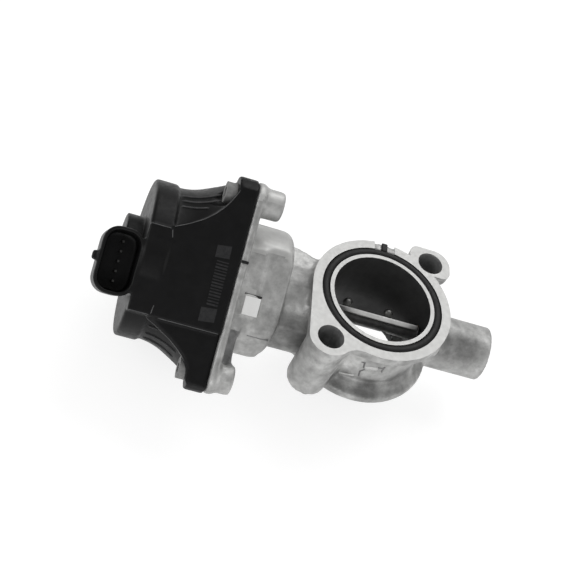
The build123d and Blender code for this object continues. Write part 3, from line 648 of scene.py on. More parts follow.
def points_of(mesh: bpy.types.Mesh) -> np.ndarray:
    """Vertex places of a mesh.

    Args:
        mesh: mesh to read.

    Returns:
        Places in metres, shape (n, 3).
    """
    flat = np.empty(len(mesh.vertices) * 3, np.float32)
    mesh.vertices.foreach_get("co", flat)
    return flat.reshape(-1, 3).astype(float)


def set_points(mesh: bpy.types.Mesh, points: np.ndarray) -> None:
    """Write vertex places back into a mesh."""
    mesh.vertices.foreach_set("co", points.astype(np.float32).ravel())
    mesh.update()


def per_face(mesh: bpy.types.Mesh, what: str) -> np.ndarray:
    """One vector for each face of a mesh.

    Args:
        mesh: mesh to read.
        what: center or normal.

    Returns:
        Centres in metres or unit normals, shape (n, 3).
    """
    flat = np.empty(len(mesh.polygons) * 3, np.float32)
    mesh.polygons.foreach_get(what, flat)
    return flat.reshape(-1, 3)


def shade_smooth(mesh: bpy.types.Mesh) -> None:
    """Shade all faces of a mesh smooth."""
    mesh.polygons.foreach_set("use_smooth", np.ones(len(mesh.polygons), bool))


def apply_modifiers(piece: Piece) -> None:
    """Make a piece's modifiers part of its mesh.

    Args:
        piece: piece to change.
    """
    bpy.context.view_layer.update()
    graph = bpy.context.evaluated_depsgraph_get()
    mesh = bpy.data.meshes.new_from_object(piece.evaluated_get(graph))
    piece.modifiers.clear()
    piece.data = mesh


def relax(mesh: bpy.types.Mesh, weight: np.ndarray, rounds: int) -> None:
    """Move each vertex towards the mean of its neighbours, a few times.

    Args:
        mesh: mesh to smooth.
        weight: how far each vertex goes towards that mean, 0 to 1.
        rounds: number of passes.
    """
    edges = np.empty(len(mesh.edges) * 2, np.int32)
    mesh.edges.foreach_get("vertices", edges)
    first, second = edges[0::2], edges[1::2]
    points = points_of(mesh)
    count = np.bincount(edges, minlength=len(points))[:, None]
    for _ in range(rounds):
        total = np.stack([np.bincount(first, points[second, k], len(points))
                          + np.bincount(second, points[first, k], len(points)) for k in range(3)], axis=1)
        points += weight[:, None] * (total / np.maximum(count, 1) - points)
    set_points(mesh, points)


@dataclass(frozen=True)
class Barrel:
    """Machined round surface between two heights on its axis.

    Attributes:
        origin: point on the axis in metres.
        axis: unit vector along it.
        radius: radius in millimetres.
        low: height of its lower end above the origin, in millimetres.
        high: height of its upper end.
    """

    origin: np.ndarray
    axis: np.ndarray
    radius: float
    low: float
    high: float

    def offset(self, points: np.ndarray) -> np.ndarray:
        """Vectors from points straight out or in to the round surface.

        Args:
            points: points in metres, shape (n, 3).

        Returns:
            Vectors in metres, more than a metre long for points past either end.
        """
        along = (points - self.origin) @ self.axis
        spoke = points - self.origin - along[:, None] * self.axis
        reach = np.linalg.norm(spoke, axis=1)[:, None]
        move = spoke / np.maximum(reach, 1e-9) * (self.radius * MM - reach)
        outside = (along < self.low * MM) | (along > self.high * MM)
        move[outside] = 1.0
        return move


@dataclass
class RoundedCopy:
    """Copy of a CAD node with the soft edges of a casting or a moulding.

    The node's solid is cut into cubes that lie square to the actuator, its surface is
    smoothed, and the vertices close to a machined surface are put back on it.

    Attributes:
        node: CAD node.
        name: name of the new piece.
        cell: size of the cubes in millimetres.
        rounds: passes of the smoothing.
        machined: surfaces that stay exact.
        keep: share of the faces that stay.
        pull: how far a vertex goes towards its neighbours in one pass.
        blend: distances from a machined surface between which the smoothing sets in.
        grip: how near a machined surface a vertex is put on it, as a share of a cell.
    """

    node: Piece
    name: str
    cell: float
    rounds: int
    machined: tuple[Barrel, ...]
    keep: float
    pull: float = 0.5
    blend: Pair = (0.4, 1.6)
    grip: float = 0.75

    def build(self, additions: tuple[Piece, ...] = (), hollows: tuple[Piece, ...] = ()) -> Piece:
        """Make the piece.

        Args:
            additions: closed shapes that are cast in one with the node.
            hollows: closed shapes that are cut out of it.

        Returns:
            The new piece.
        """
        piece = merged_copy(self.node, self.name)
        for hollow in hollows:
            cut = piece.modifiers.new("hollow", "BOOLEAN")
            cut.operation = "DIFFERENCE"
            cut.solver = "EXACT"
            cut.object = hollow
            apply_modifiers(piece)
            bpy.data.objects.remove(hollow)
        join_into(piece, additions)
        set_points(piece.data, to_act(points_of(piece.data)) * MM)
        remesh = piece.modifiers.new("cubes", "REMESH")
        remesh.mode = "VOXEL"
        remesh.voxel_size = self.cell * MM
        apply_modifiers(piece)
        points = from_act(points_of(piece.data) / MM)
        set_points(piece.data, points)
        start, full = self.blend
        relax(piece.data, self.pull * smooth_step(self.nearest(points), start * MM, full * MM), self.rounds)
        relax(piece.data, np.full(len(points), self.pull), 1)
        self.snap(piece.data)
        low, high = (np.array(corner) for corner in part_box(self.node["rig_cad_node"]))
        set_points(piece.data, np.clip(points_of(piece.data), low, high))
        if self.keep < 1.0:
            thin = piece.modifiers.new("thin", "DECIMATE")
            thin.ratio = self.keep
            apply_modifiers(piece)
        shade_smooth(piece.data)
        return piece

    def nearest(self, points: np.ndarray) -> np.ndarray:
        """Distance of each point from the nearest machined surface.

        Args:
            points: points in metres, shape (n, 3).

        Returns:
            Distances in metres, or 1 where nothing is machined.
        """
        if not self.machined:
            return np.ones(len(points))
        return np.min([np.linalg.norm(surface.offset(points), axis=1) for surface in self.machined], axis=0)

    def snap(self, mesh: bpy.types.Mesh) -> None:
        """Put the vertices near a machined surface on it.

        Args:
            mesh: mesh to change.
        """
        points = points_of(mesh)
        for surface in self.machined:
            move = surface.offset(points)
            close = np.linalg.norm(move, axis=1) < self.grip * self.cell * MM
            points[close] += move[close]
        set_points(mesh, points)


def join_into(piece: Piece, others: tuple[Piece, ...]) -> None:
    """Add other objects' meshes to a piece and remove those objects.

    Args:
        piece: piece to add to.
        others: objects to take in.
    """
    if not others:
        return
    with edited(piece.data) as joined:
        for other in others:
            joined.from_mesh(other.data)
            bpy.data.objects.remove(other)


def box_corners(first: Pair, second: Pair, third: Pair) -> np.ndarray:
    """Corners between two values along each of three directions, shape (8, 3)."""
    return np.stack(np.meshgrid(first, second, third, indexing="ij"), axis=-1).reshape(8, 3)


def block(name: str, corners: np.ndarray) -> Piece:
    """Closed solid with eight corners in metres, in the order that box_corners gives."""
    faces = [(0, 1, 3, 2), (4, 6, 7, 5), (0, 4, 5, 1), (2, 3, 7, 6), (0, 2, 6, 4), (1, 5, 7, 3)]
    return closed_piece(name, corners, faces, False)


def act_block(name: str, x: Pair, u: Pair, f: Pair) -> Piece:
    """Closed block between two x, two u and two f on the actuator."""
    return block(name, from_act(box_corners(x, u, f)))


def act_prism(name: str, outline: tuple, f: Pair) -> Piece:
    """Closed prism that stands square to the actuator's front.

    Args:
        name: object name.
        outline: places (x, u) round it in millimetres.
        f: where it starts and ends along F, in millimetres.

    Returns:
        The new object.
    """
    count = len(outline)
    places = np.column_stack((np.tile(outline, (2, 1)), np.repeat(f, count)))
    faces = [list(range(count)), list(range(2 * count - 1, count - 1, -1))]
    faces += grid_faces(2, count, False, True)
    return closed_piece(name, from_act(places), faces, False)


def bevelled(piece: Piece, width: float, segments: int = 3) -> Piece:
    """Round a piece's edges.

    Args:
        piece: piece to round.
        width: width of the rounding in millimetres.
        segments: faces across it.

    Returns:
        The same piece.
    """
    bevel = piece.modifiers.new("round", "BEVEL")
    bevel.width = width * MM
    bevel.segments = segments
    apply_modifiers(piece)
    return piece


def ridge(name: str, path: np.ndarray, across: np.ndarray, up: np.ndarray, width: float, height: float,
          sink: float = 0.4) -> Piece:
    """Half round ridge that stands on a surface along a path and fades at its ends.

    A point of a section is path + (width / 2) cos a across + height sin a up, for a
    from 0 to a half turn, and two more close it under the surface.

    Args:
        name: object name.
        path: points in metres, shape (n, 3).
        across: unit vectors square to the path, shape (n, 3) or (3,).
        up: unit vectors away from the surface, shape (n, 3) or (3,).
        width: width in millimetres.
        height: height in millimetres.
        sink: depth of the foot in millimetres.

    Returns:
        The new object.
    """
    count = len(path)
    across, up = np.broadcast_to(across, (count, 3)), np.broadcast_to(up, (count, 3))
    angle = np.linspace(0.0, pi, 9)
    side = np.append(np.cos(angle), (-1.0, 1.0)) * width / 2
    rise = np.append(np.sin(angle) * height, (-sink, -sink))
    along = np.linspace(0.0, 1.0, count)
    fade = smooth_step(np.minimum(along, 1.0 - along), *RIDGE_FADE)[:, None]
    rise = np.where(rise > 0.0, rise * fade - sink * 0.5 * (1.0 - fade), rise)
    points = side[None, :, None] * across[:, None, :] + rise[:, :, None] * up[:, None, :]
    points = path[:, None, :] + points * MM
    faces = grid_faces(count, len(side), False, True)
    last = (count - 1) * len(side)
    faces += [list(range(len(side))), list(range(last + len(side) - 1, last - 1, -1))]
    return closed_piece(name, points.reshape(-1, 3), faces)


def report(piece: Piece) -> None:
    """Log a finished piece and how many faces it has."""
    log.info("%s: %d faces", piece.name, len(piece.data.polygons))


def dressed(piece: Piece, finish: Finish) -> None:
    """Give a piece that stays on the frame its finish and material slot.

    Args:
        piece: piece to dress.
        finish: its look.
    """
    piece.data.materials.clear()
    piece.data.materials.append(finish.material())
    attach(piece, "frame")
    report(piece)


# ---------------------------------------------------------------- valve housing
class Skin(IntEnum):
    """Material places of the housing."""

    CAST = 0
    FACE = 1
    BORE = 2
    # HOLE: walls of the bolt holes and the recess, painted dark as shade
    HOLE = 3


SKIN_FINISH = {Skin.CAST: CAST_ALUMINIUM, Skin.FACE: MACHINED_FACE, Skin.BORE: BORED_WALL,
               Skin.HOLE: PAINTED_SHADE_WALL}


@dataclass
class ValveHousing:
    """Cast housing: flange, barrel, rim, gas tube, pot and plate in one casting.

    Attributes:
        frame: the loaded frame.
        bore: radius of the gas bore.
        groove: inner and outer radius of the seal groove.
        groove_depth: depth of that groove.
        bolt_circle: circle of the bolt holes.
        bolt_angle: direction of the first hole from +X, in degrees.
        bolt_hole: radius of a bolt hole.
        tube: radius of the gas tube.
        tube_bore: radius of its bore.
        tube_place: y and z of its axis.
        tube_start: x where its plain outside starts.
        tube_end: x of its mouth.
        spigot: radius of the spigot below the rim.
        rim_bottom: height of the rim's underside.
        under: height that lies below the whole casting.
        past: how far machined surfaces are followed past the casting's skin.
        roots: lengths left soft at the roots of the spigot, the tube's bore and the groove.
        face_from: x where the flange face starts.
        face_depth: depth that the cutter has left crisp.
        face_low: least height of what counts as the milled face.
        crisp: angle from which an edge of the milled face looks sharp, in degrees.
        level: least upward part of a level face's normal.
        wall: how far outside a hole's radius its wall may lie.
        groove_wall: how far beside the groove its walls may lie, and their least and greatest height.
        recess: outline (x, u) of the hollow behind the plate.
        recess_floor: f of its floor.
        recess_open: f in front of the casting, where its cutter ends.
        recess_round: rounding of its edges.
        recess_shade: depth below its floor and f between which its walls are painted dark as shade.
        gate: path (degrees from +X, z) of the broken gate's scar on the barrel.
        flow: path of the light ridge beside it.
        cracks: paths of the cold laps round that scar.
        pot_line: first and last x, u and f of the parting line over the pot's lobe.
        barrel: radius of the barrel.
        waist: z where the barrel starts to draw in, z of its floor, z of the foot and depth.
        waist_arc: directions from +X between which it lies, in degrees.
        waist_fade: degrees over which it sets in and ends.
        waist_step: distances below the foot between which the full width returns.
        waist_skin: distances from the barrel's radius, inwards and outwards, between which
            the waist takes hold and lets go.
        trim: name, x, u, f, edge rounding, its segments, finish and slot of each small block:
        the milled top of the pot's pad, painted near white as a highlight, the cutter's step
        beside it and the joint's vent, both near-black blocks of painted shade.
    """

    frame: dict
    bore: float = 21.0
    groove: Pair = (22.7, 26.1)
    groove_depth: float = 2.4
    bolt_circle: float = 67.4
    bolt_angle: float = 51.2
    bolt_hole: float = 5.5
    tube: float = 11.65
    tube_bore: float = 9.05
    tube_place: Pair = (8.2, -26.6)
    tube_start: float = 33.0
    tube_end: float = 56.8
    spigot: float = 24.0
    rim_bottom: float = -34.0
    under: float = -45.0
    past: float = 1.0
    roots: Triple = (0.3, 0.5, 0.4)
    face_from: float = -34.0
    face_depth: float = 0.5
    face_low: float = -0.3
    crisp: float = 30.0
    level: float = 0.8
    wall: float = 0.4
    groove_wall: Triple = (0.2, -3.0, -0.1)
    recess: tuple[Pair, ...] = ((-58.6, -18.0), (-56.2, -18.6), (-54.9, -22.0), (-55.4, -28.5),
                                (-57.6, -33.2), (-59.4, -31.0), (-59.7, -22.0))
    recess_floor: float = 19.6
    recess_open: float = 32.0
    recess_round: float = 0.8
    recess_shade: Pair = (0.5, 23.4)
    gate: tuple[Pair, ...] = ((-94.0, -14.4), (-88.0, -13.6), (-81.0, -13.2))
    flow: tuple[Pair, ...] = ((-112.8, -23.6), (-107.0, -22.8), (-102.2, -21.9), (-97.0, -21.0))
    cracks: tuple = (((-99.9, -11.9), (-95.7, -11.2), (-94.2, -14.3), (-91.5, -15.1), (-95.1, -17.2),
                      (-92.8, -21.9)),
                     ((-84.1, -12.3), (-78.0, -12.6), (-75.9, -11.6), (-76.6, -14.6), (-74.6, -15.7)))
    pot_line: tuple[float, float, float, float] = (-52.0, -42.5, -19.0, 17.7)
    barrel: float = 25.6
    waist: tuple[float, float, float, float] = (-20.5, -26.0, -30.5, 1.0)
    waist_arc: Pair = (-116.0, -32.0)
    waist_fade: Pair = (6.0, 16.0)
    waist_step: Pair = (0.1, 1.6)
    waist_skin: tuple[Pair, Pair] = ((1.2, 0.5), (0.4, 1.2))
    trim: tuple = (
        ("pad_face", (-56.5, -50.3), (-11.5, -4.2), (21.6, 22.46), 0.12, 2, MILLED_SPOT_HIGHLIGHT, "cast_aluminium"),
        # painted shade: a near-black step along the pad's edge
        ("pad_step_shade", (-57.0, -50.0), (-4.0, -3.1), (21.0, 21.75), 0.1, 2, BORED_WALL, "cast_aluminium"),
        # painted shade: a near-black block in the joint's vent
        ("joint_vent_shade", (-63.2, -60.2), (6.8, 8.0), (30.4, 31.25), 0.45, 3, SEAL_RUBBER, "seal_rubber"))

    def bolt_centres(self) -> list[Pair]:
        """Centres (x, y) of the two bolt holes in millimetres."""
        angle = radians(self.bolt_angle)
        reaches = (self.bolt_circle / 2, -self.bolt_circle / 2)
        return [(reach * cos(angle), reach * sin(angle)) for reach in reaches]

    def machined(self) -> tuple[Barrel, ...]:
        """Surfaces that the cutter leaves exact.

        Returns:
            The bore, spigot, gas tube and its bore, the groove's walls and the bolt holes.
        """
        tube = np.array((0.0, *self.tube_place)) * MM
        mouth = self.tube_end + self.past
        spigot_root, tube_root, groove_root = self.roots
        surfaces = [Barrel(ORIGIN, Z_DIR, self.bore, self.under, self.past),
                    Barrel(ORIGIN, Z_DIR, self.spigot, self.under, self.rim_bottom + spigot_root),
                    Barrel(tube, X_DIR, self.tube, self.tube_start, mouth),
                    Barrel(tube, X_DIR, self.tube_bore, self.tube_start + tube_root, mouth)]
        surfaces += [Barrel(ORIGIN, Z_DIR, radius, groove_root - self.groove_depth, self.past)
                     for radius in self.groove]
        surfaces += [Barrel(np.array((x, y, 0.0)) * MM, Z_DIR, self.bolt_hole, self.under, self.past)
                     for x, y in self.bolt_centres()]
        return tuple(surfaces)

    def build(self) -> None:
        """Cast the housing and dress its machined faces."""
        node = self.frame["nodes"]["valve_housing"]
        cutter = act_prism("recess", self.recess, (self.recess_floor, self.recess_open))
        hollow = bevelled(cutter, self.recess_round)
        rounded = RoundedCopy(node, "housing_casting", cell=0.78, rounds=6, machined=self.machined(),
                              keep=1.0)
        casting = rounded.build(hollows=(hollow,))
        points = self.waisted(points_of(casting.data))
        flat = (points[:, 0] > self.face_from * MM) & (points[:, 2] > -self.face_depth * MM / 2)
        points[flat, 2] = -self.face_depth * MM / 2
        set_points(casting.data, points)
        self.dress(casting)
        face = self.face_skin(node)
        self.dress(face)
        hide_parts("valve_housing")
        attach(face, "frame")
        report(face)
        for name, x, u, f, width, segments, finish, slot in self.trim:
            dressed(bevelled(act_block(name, x, u, f), width, segments), finish)
        self.scars()
        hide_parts("valve_housing")
        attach(casting, "frame")
        report(casting)

    def face_skin(self, node: Piece) -> Piece:
        """Top of the flange with the sharp edges that the cutter leaves.

        Args:
            node: CAD node of the housing.

        Returns:
            The closed slab between the face and its depth below it.
        """
        piece = merged_copy(node, "flange_face_skin")
        with edited(piece.data) as mesh:
            everything = mesh.verts[:] + mesh.edges[:] + mesh.faces[:]
            bmesh.ops.bisect_plane(mesh, geom=everything, dist=SAME_POINT, plane_no=Z_DIR,
                                   plane_co=(0.0, 0.0, -self.face_depth * MM), clear_inner=True)
            far = [vert for vert in mesh.verts if vert.co.x < self.face_from * MM]
            bmesh.ops.delete(mesh, geom=far, context="VERTS")
            rim = [edge for edge in mesh.edges if edge.is_boundary]
            bmesh.ops.triangle_fill(mesh, use_beauty=True, edges=rim)
            bmesh.ops.recalc_face_normals(mesh, faces=mesh.faces)
            for edge in mesh.edges:
                edge.smooth = edge.calc_face_angle(0.0) < radians(self.crisp)
        shade_smooth(piece.data)
        return piece

    def waisted(self, points: np.ndarray) -> np.ndarray:
        """Points with the barrel drawn in above its foot.

        The barrel's radius shrinks by the waist's depth times a ramp that falls with z from
        its start to its floor and returns in a short step below the foot. The change fades
        out at both ends of the arc that is clear of the column and the gas tube.

        Args:
            points: the casting's vertices in metres.

        Returns:
            The moved vertices in metres.
        """
        start, floor, foot, depth = self.waist
        (first, last), (set_in, end) = self.waist_arc, self.waist_fade
        step_start, step_end = self.waist_step
        inner, outer = self.waist_skin
        radius = np.hypot(points[:, 0], points[:, 1]) / MM
        angle = np.degrees(np.arctan2(points[:, 1], points[:, 0]))
        height = points[:, 2] / MM
        share = smooth_step(-height, -start, -floor)
        share *= 1.0 - smooth_step(-height, -foot + step_start, -foot + step_end)
        share *= smooth_step(angle, first, first + set_in) * (1.0 - smooth_step(angle, last - end, last))
        share *= smooth_step(radius, self.barrel - inner[0], self.barrel - inner[1])
        share *= 1.0 - smooth_step(radius, self.barrel + outer[0], self.barrel + outer[1])
        moved = points.copy()
        moved[:, :2] *= (1.0 - depth * share / np.maximum(radius, 1.0))[:, None]
        return moved

    def on_barrel(self, places: tuple[Pair, ...], sink: float) -> tuple[np.ndarray, np.ndarray]:
        """Path on the barrel's skin.

        Args:
            places: (degrees from +X, z) of the places to pass through.
            sink: how far under the skin the path lies, in millimetres.

        Returns:
            Its points in metres and the directions straight out of the barrel there.
        """
        degrees, height = walked(places, 6 * len(places)).T
        angle = np.radians(degrees)
        spoke = np.stack((np.cos(angle), np.sin(angle), np.zeros(len(angle))), axis=1)
        points = spoke * (self.barrel - sink)
        points[:, 2] = height
        return points * MM, spoke

    def scars(self) -> None:
        """Broken gate on the barrel, the cold laps round it and the line over the pot's lobe, the last two as
        dark ridges of painted shade.
        """
        # name, path, width, height and finish of each
        scars = [("gate_scar", self.gate, 2.4, 0.4, SCUFFED_CASTING),
                 ("flow_ridge", self.flow, 1.1, 0.35, SCUFFED_CASTING)]
        # cold laps: raised ridges whose dark colour is painted shade of a crack
        scars += [(f"cold_lap_{number}", crack, 0.7, 0.2, PAINTED_SHADE_WALL)
                  for number, crack in enumerate(self.cracks)]
        for name, places, width, height, finish in scars:
            points, spoke = self.on_barrel(places, sink=0.03)
            scar = ridge(name, points, square_to(points, spoke), spoke, width, height)
            dressed(scar, finish)
        start, end, u, f = self.pot_line
        path = from_act(walked(((start, u, f), (end, u, f)), 12))
        up = (u * U_DIR + f * F_DIR) / np.hypot(u, f)
        # painted shade: a dark ridge along the pot's parting line
        line = ridge("pot_line", path, np.cross(X_DIR, up), up, width=0.55, height=0.12)
        dressed(line, PAINTED_SHADE_WALL)

    def dress(self, casting: Piece) -> None:
        """Give cast skin, machined faces and bored walls their own finish.

        Args:
            casting: piece to dress.
        """
        mesh = casting.data
        for skin in Skin:
            mesh.materials.append(SKIN_FINISH[skin].material())
        centres = per_face(mesh, "center") / MM
        radius, height = np.hypot(centres[:, 0], centres[:, 1]), centres[:, 2]
        level = per_face(mesh, "normal")[:, 2] > self.level
        skins = np.full(len(mesh.polygons), Skin.CAST, np.int32)
        skins[(height > self.face_low) & level] = Skin.FACE
        skins[(radius < self.bore + self.wall) & ~level] = Skin.BORE
        beside, low, high = self.groove_wall
        in_ring = (radius > self.groove[0] - beside) & (radius < self.groove[1] + beside)
        skins[in_ring & (height > low) & (height < high)] = Skin.BORE
        # painted shade: the recess walls take the dark wall finish
        places = to_act(centres * MM)
        below, top = self.recess_shade
        start = np.append(np.min(self.recess, axis=0), self.recess_floor - below)
        end = np.append(np.max(self.recess, axis=0), top)
        skins[np.all((places > start) & (places < end), axis=1)] = Skin.HOLE
        # painted shade: the bolt hole walls take the dark wall finish
        for x, y in self.bolt_centres():
            across = np.hypot(centres[:, 0] - x, centres[:, 1] - y)
            skins[(across < self.bolt_hole + self.wall) & ~level] = Skin.HOLE
        mesh.polygons.foreach_set("material_index", skins)


# ---------------------------------------------------------------- flange seal
@dataclass
class FlangeSeal:
    """Crowned rubber ring in the flange groove with its locating tab.

    Attributes:
        radii: inner and outer radius of the ring.
        depth: depth of its underside.
        shoulder: height of its shoulders.
        tab_angle: direction of the tab from +X, in degrees.
        tab_reach: radii between which the tab lies.
        tab_width: width of the tab.
        tab_floor: height of its underside.
    """

    radii: Pair = (22.8, 26.0)
    depth: float = 2.35
    shoulder: float = -0.75
    tab_angle: float = 89.5
    tab_reach: Pair = (25.6, 29.9)
    tab_width: float = 2.6
    tab_floor: float = -0.65

    def build(self) -> None:
        """Mould the ring and the tab in one piece."""
        _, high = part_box("flange_seal")
        top = high[2] / MM
        inner, outer = self.radii
        angle = np.linspace(0.0, pi, 13)
        arc = np.stack(((inner + outer) / 2 + (outer - inner) / 2 * np.cos(angle),
                        self.shoulder + (top - self.shoulder) * np.sin(angle)), axis=1)
        profile = np.vstack((((inner, -self.depth), (outer, -self.depth)), arc))
        ring = turned("flange_seal_ring", profile, ORIGIN, X_DIR, Y_DIR, steps=144)
        sides = (-self.tab_width / 2, self.tab_width / 2)
        corners = box_corners(self.tab_reach, sides, (self.tab_floor, top)) * MM
        tab = bevelled(block("tab", corners), width=0.9, segments=4)
        tab.data.transform(Matrix.Rotation(radians(self.tab_angle), 4, "Z"))
        join_into(ring, (tab,))
        shade_smooth(ring.data)
        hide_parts("flange_seal")
        dressed(ring, SEAL_RUBBER)


# ---------------------------------------------------------------- flap screws
@dataclass
class FlapScrews:
    """Round headed screws that hold the flap in the shaft's flat.

    Attributes:
        places: x of the two screws.
        tilt: direction of the flap's normal from +Y at rest, in degrees.
        seat: height of the flap's upper side above the shaft's axis.
        profile: (radius, height) of the head above its seat, up to a point beside the axis.
        shank: radius and lowest height of the shank.
    """

    places: Pair = (-10.6, 7.4)
    tilt: float = 41.0
    seat: float = 3.4
    profile: tuple[Pair, ...] = ((1.7, 0.0), (1.75, 0.9), (2.0, 1.15), (2.05, 1.7), (1.85, 2.45), (1.4, 3.05),
                                 (0.8, 3.42), (0.3, 3.53), (0.02, 3.55))
    shank: Pair = (1.5, -5.8)

    def build(self) -> None:
        """Turn both screws."""
        normal = np.array((0.0, cos(radians(self.tilt)), sin(radians(self.tilt))))
        radius, depth = self.shank
        core, _ = self.profile[-1]
        outline = np.array(((core, depth), (radius, depth), (radius, 0.0), *self.profile))
        screws = []
        for number, x in enumerate(self.places):
            centre = (X_DIR * x + normal * self.seat) * MM + AXIS
            screws.append(turned(f"flap_screw_{number}", outline, centre, X_DIR, np.cross(normal, X_DIR),
                                 steps=40))
        join_into(screws[0], (screws[1],))
        shade_smooth(screws[0].data)
        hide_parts("flap_screws")
        screws[0].data.materials.append(DARK_STEEL.material())
        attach(screws[0], "flap")
        report(screws[0])


# ---------------------------------------------------------------- actuator
@dataclass
class ActuatorCover:
    """Moulded cover of the actuator with its connector.

    Attributes:
        frame: the loaded frame.
        front: f of the flat front.
        front_low: f of its deeper part.
        upper_edge: outline (x, u) of the front where it stands over the flare.
        lower_edge: the same below the front's step.
        upper_web: u of the upper web's inner edge and f of its underside.
        lower_web: the same for the lower web.
        joint_x: x where the webs end, by the joint with the housing.
        flare: start x, start radius and radius of the concave flare.
        upper_ribs: angles from U towards F of the ribs above the front, in degrees.
        lower_ribs: angles from -U towards F of the ribs below it.
        rib_start: x where the ribs start.
        rib_ends: x where each rib ends.
        line_top: height at which the pale edge lines of painted highlight stop.
        line_inset: how far inside the upper edge, and under the front's step, its line lies.
        mark: f of the marks' underside and top, from the front.
        squares: outlines (x, u) of the two square marks.
        bars: number of bars.
        bar_column: u of the first bar and length of their column.
        bar_ends: x where the first bar starts, how far the last one's start is moved, and x
            where all of them end.
        bar_widths: width of the thinnest bar and the step to the next width.
    """

    frame: dict
    front: float = 31.0
    front_low: float = 29.6
    upper_edge: tuple[Pair, ...] = ((-90.9, 13.4), (-86.0, 15.8), (-80.8, 19.1), (-77.5, 22.0), (-74.6, 25.3),
                                    (-72.6, 28.6), (-71.2, 31.6), (-69.6, 35.0), (-66.8, 38.2))
    lower_edge: tuple[Pair, ...] = ((-92.0, -22.6), (-87.9, -24.5), (-81.4, -28.2), (-77.5, -31.1),
                                    (-75.0, -33.4), (-72.6, -37.2), (-72.0, -41.4), (-70.0, -44.0))
    upper_web: Pair = (10.0, 26.3)
    lower_web: Pair = (-18.0, 25.5)
    joint_x: float = -63.7
    flare: Triple = (-91.0, 31.0, 25.0)
    upper_ribs: Triple = (31.0, 38.0, 44.5)
    lower_ribs: Triple = (15.0, 25.0, 36.0)
    rib_start: float = -90.0
    rib_ends: Triple = (-75.5, -75.5, -79.0)
    line_top: float = 29.5
    line_inset: float = 0.1
    mark: Pair = (-0.3, 0.12)
    squares: tuple = (((-73.4, 6.4), (-67.8, 6.9), (-68.0, 11.8), (-73.5, 11.0)),
                      ((-73.4, -18.5), (-67.3, -17.8), (-67.3, -12.5), (-73.5, -13.1)))
    bars: int = 15
    bar_column: Pair = (5.2, 16.6)
    bar_ends: Triple = (-72.3, 0.4, -67.5)
    bar_widths: Pair = (0.42, 0.16)

    def build(self) -> None:
        """Mould the cover and set its fine trim on it."""
        upper = self.web("upper_web", self.upper_edge, self.upper_web, self.front)
        lower = self.web("lower_web", self.lower_edge, self.lower_web, self.front_low)
        node = self.frame["nodes"]["actuator_cover"]
        rounded = RoundedCopy(node, "cover_moulding", cell=0.55, rounds=2, machined=(), keep=0.7)
        cover = rounded.build(additions=(upper, lower))
        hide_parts("actuator_cover")
        dressed(cover, BLACK_PLASTIC)
        self.flare_ribs()
        self.edge_lines()
        self.label_marks()

    def web(self, name: str, edge: tuple[Pair, ...], inside: Pair, top: float) -> Piece:
        """Flat web between an edge of the front and the joint.

        Args:
            name: object name.
            edge: outline (x, u) of the edge.
            inside: u of the web's inner edge and f of its underside.
            top: f of its top.

        Returns:
            The new object.
        """
        u, f = inside
        corners = ((self.joint_x, edge[-1][1]), (self.joint_x, u), (edge[0][0], u))
        return act_prism(name, (*edge, *corners), (f, top))

    def flare_radius(self, x: np.ndarray) -> np.ndarray:
        """Radius of the flare: start + turn - square root of (turn^2 - (x - start x)^2)."""
        start_x, start_radius, turn = self.flare
        return start_radius + turn - np.sqrt(turn ** 2 - (x - start_x) ** 2)

    def flare_ribs(self) -> None:
        """Thin moulded ribs along the flare on both sides of the front, pale as painted highlight on their
        crests.
        """
        for side, place, angles in ((1.0, "upper", self.upper_ribs), (-1.0, "lower", self.lower_ribs)):
            for number, (degrees, end) in enumerate(zip(angles, self.rib_ends)):
                x = np.linspace(self.rib_start, end, 30)
                spoke = side * cos(radians(degrees)) * U_DIR + sin(radians(degrees)) * F_DIR
                path = (x[:, None] * X_DIR + self.flare_radius(x)[:, None] * spoke) * MM + AXIS
                rib = ridge(f"flare_rib_{place}_{number}", path, np.cross(X_DIR, spoke), spoke,
                            width=0.45, height=0.6)
                # painted highlight: the rib is coloured paler than the black moulding
                dressed(rib, PAINTED_HIGHLIGHT_PLASTIC)

    def edge_lines(self) -> None:
        """Pale lines of painted highlight along the sharpest edges of the moulding."""
        front, step = self.front, self.front - self.line_inset
        lines = {
            "upper_edge": [(x, u - self.line_inset, front) for x, u in self.upper_edge],
            "box_top": ((-99.6, 12.3, front), (-92.0, 12.3, front)),
            "box_low": ((-99.9, -21.1, front), (-91.7, -21.1, front)),
            "front_step": ((-88.0, -21.5, step), (-64.5, -21.5, step)),
            "box_notch": ((-91.4, 12.0, front), (-90.6, 8.8, front)),
            "box_mark": ((-91.2, -20.8, front), (-90.8, -17.0, front)),
        }
        # painted highlight: each line is a pale ridge along an edge
        for name, places in lines.items():
            path = from_act(walked(places, 24))
            path = path[path[:, 2] < self.line_top * MM]
            line = ridge(f"worn_{name}", path, square_to(path, F_DIR), F_DIR,
                         width=0.35, height=0.06, sink=0.3)
            dressed(line, PAINTED_HIGHLIGHT_PLASTIC)

    def label_marks(self) -> None:
        """Faint plain bars and two squares where a label would be, without any meaning."""
        f = (self.front + self.mark[0], self.front + self.mark[1])
        for number, outline in enumerate(self.squares):
            dressed(act_prism(f"mark_square_{number}", outline, f), MARKED_PLASTIC)
        first, length = self.bar_column
        start, shift, end = self.bar_ends
        thinnest, step = self.bar_widths
        # bars of three widths in turn
        for number in range(self.bars):
            share = number / (self.bars - 1)
            u = first - length * share
            half = (thinnest + step * (number % 3)) / 2
            bar = act_block(f"mark_bar_{number:02d}", (start + shift * share, end), (u - half, u + half), f)
            dressed(bar, MARKED_PLASTIC)


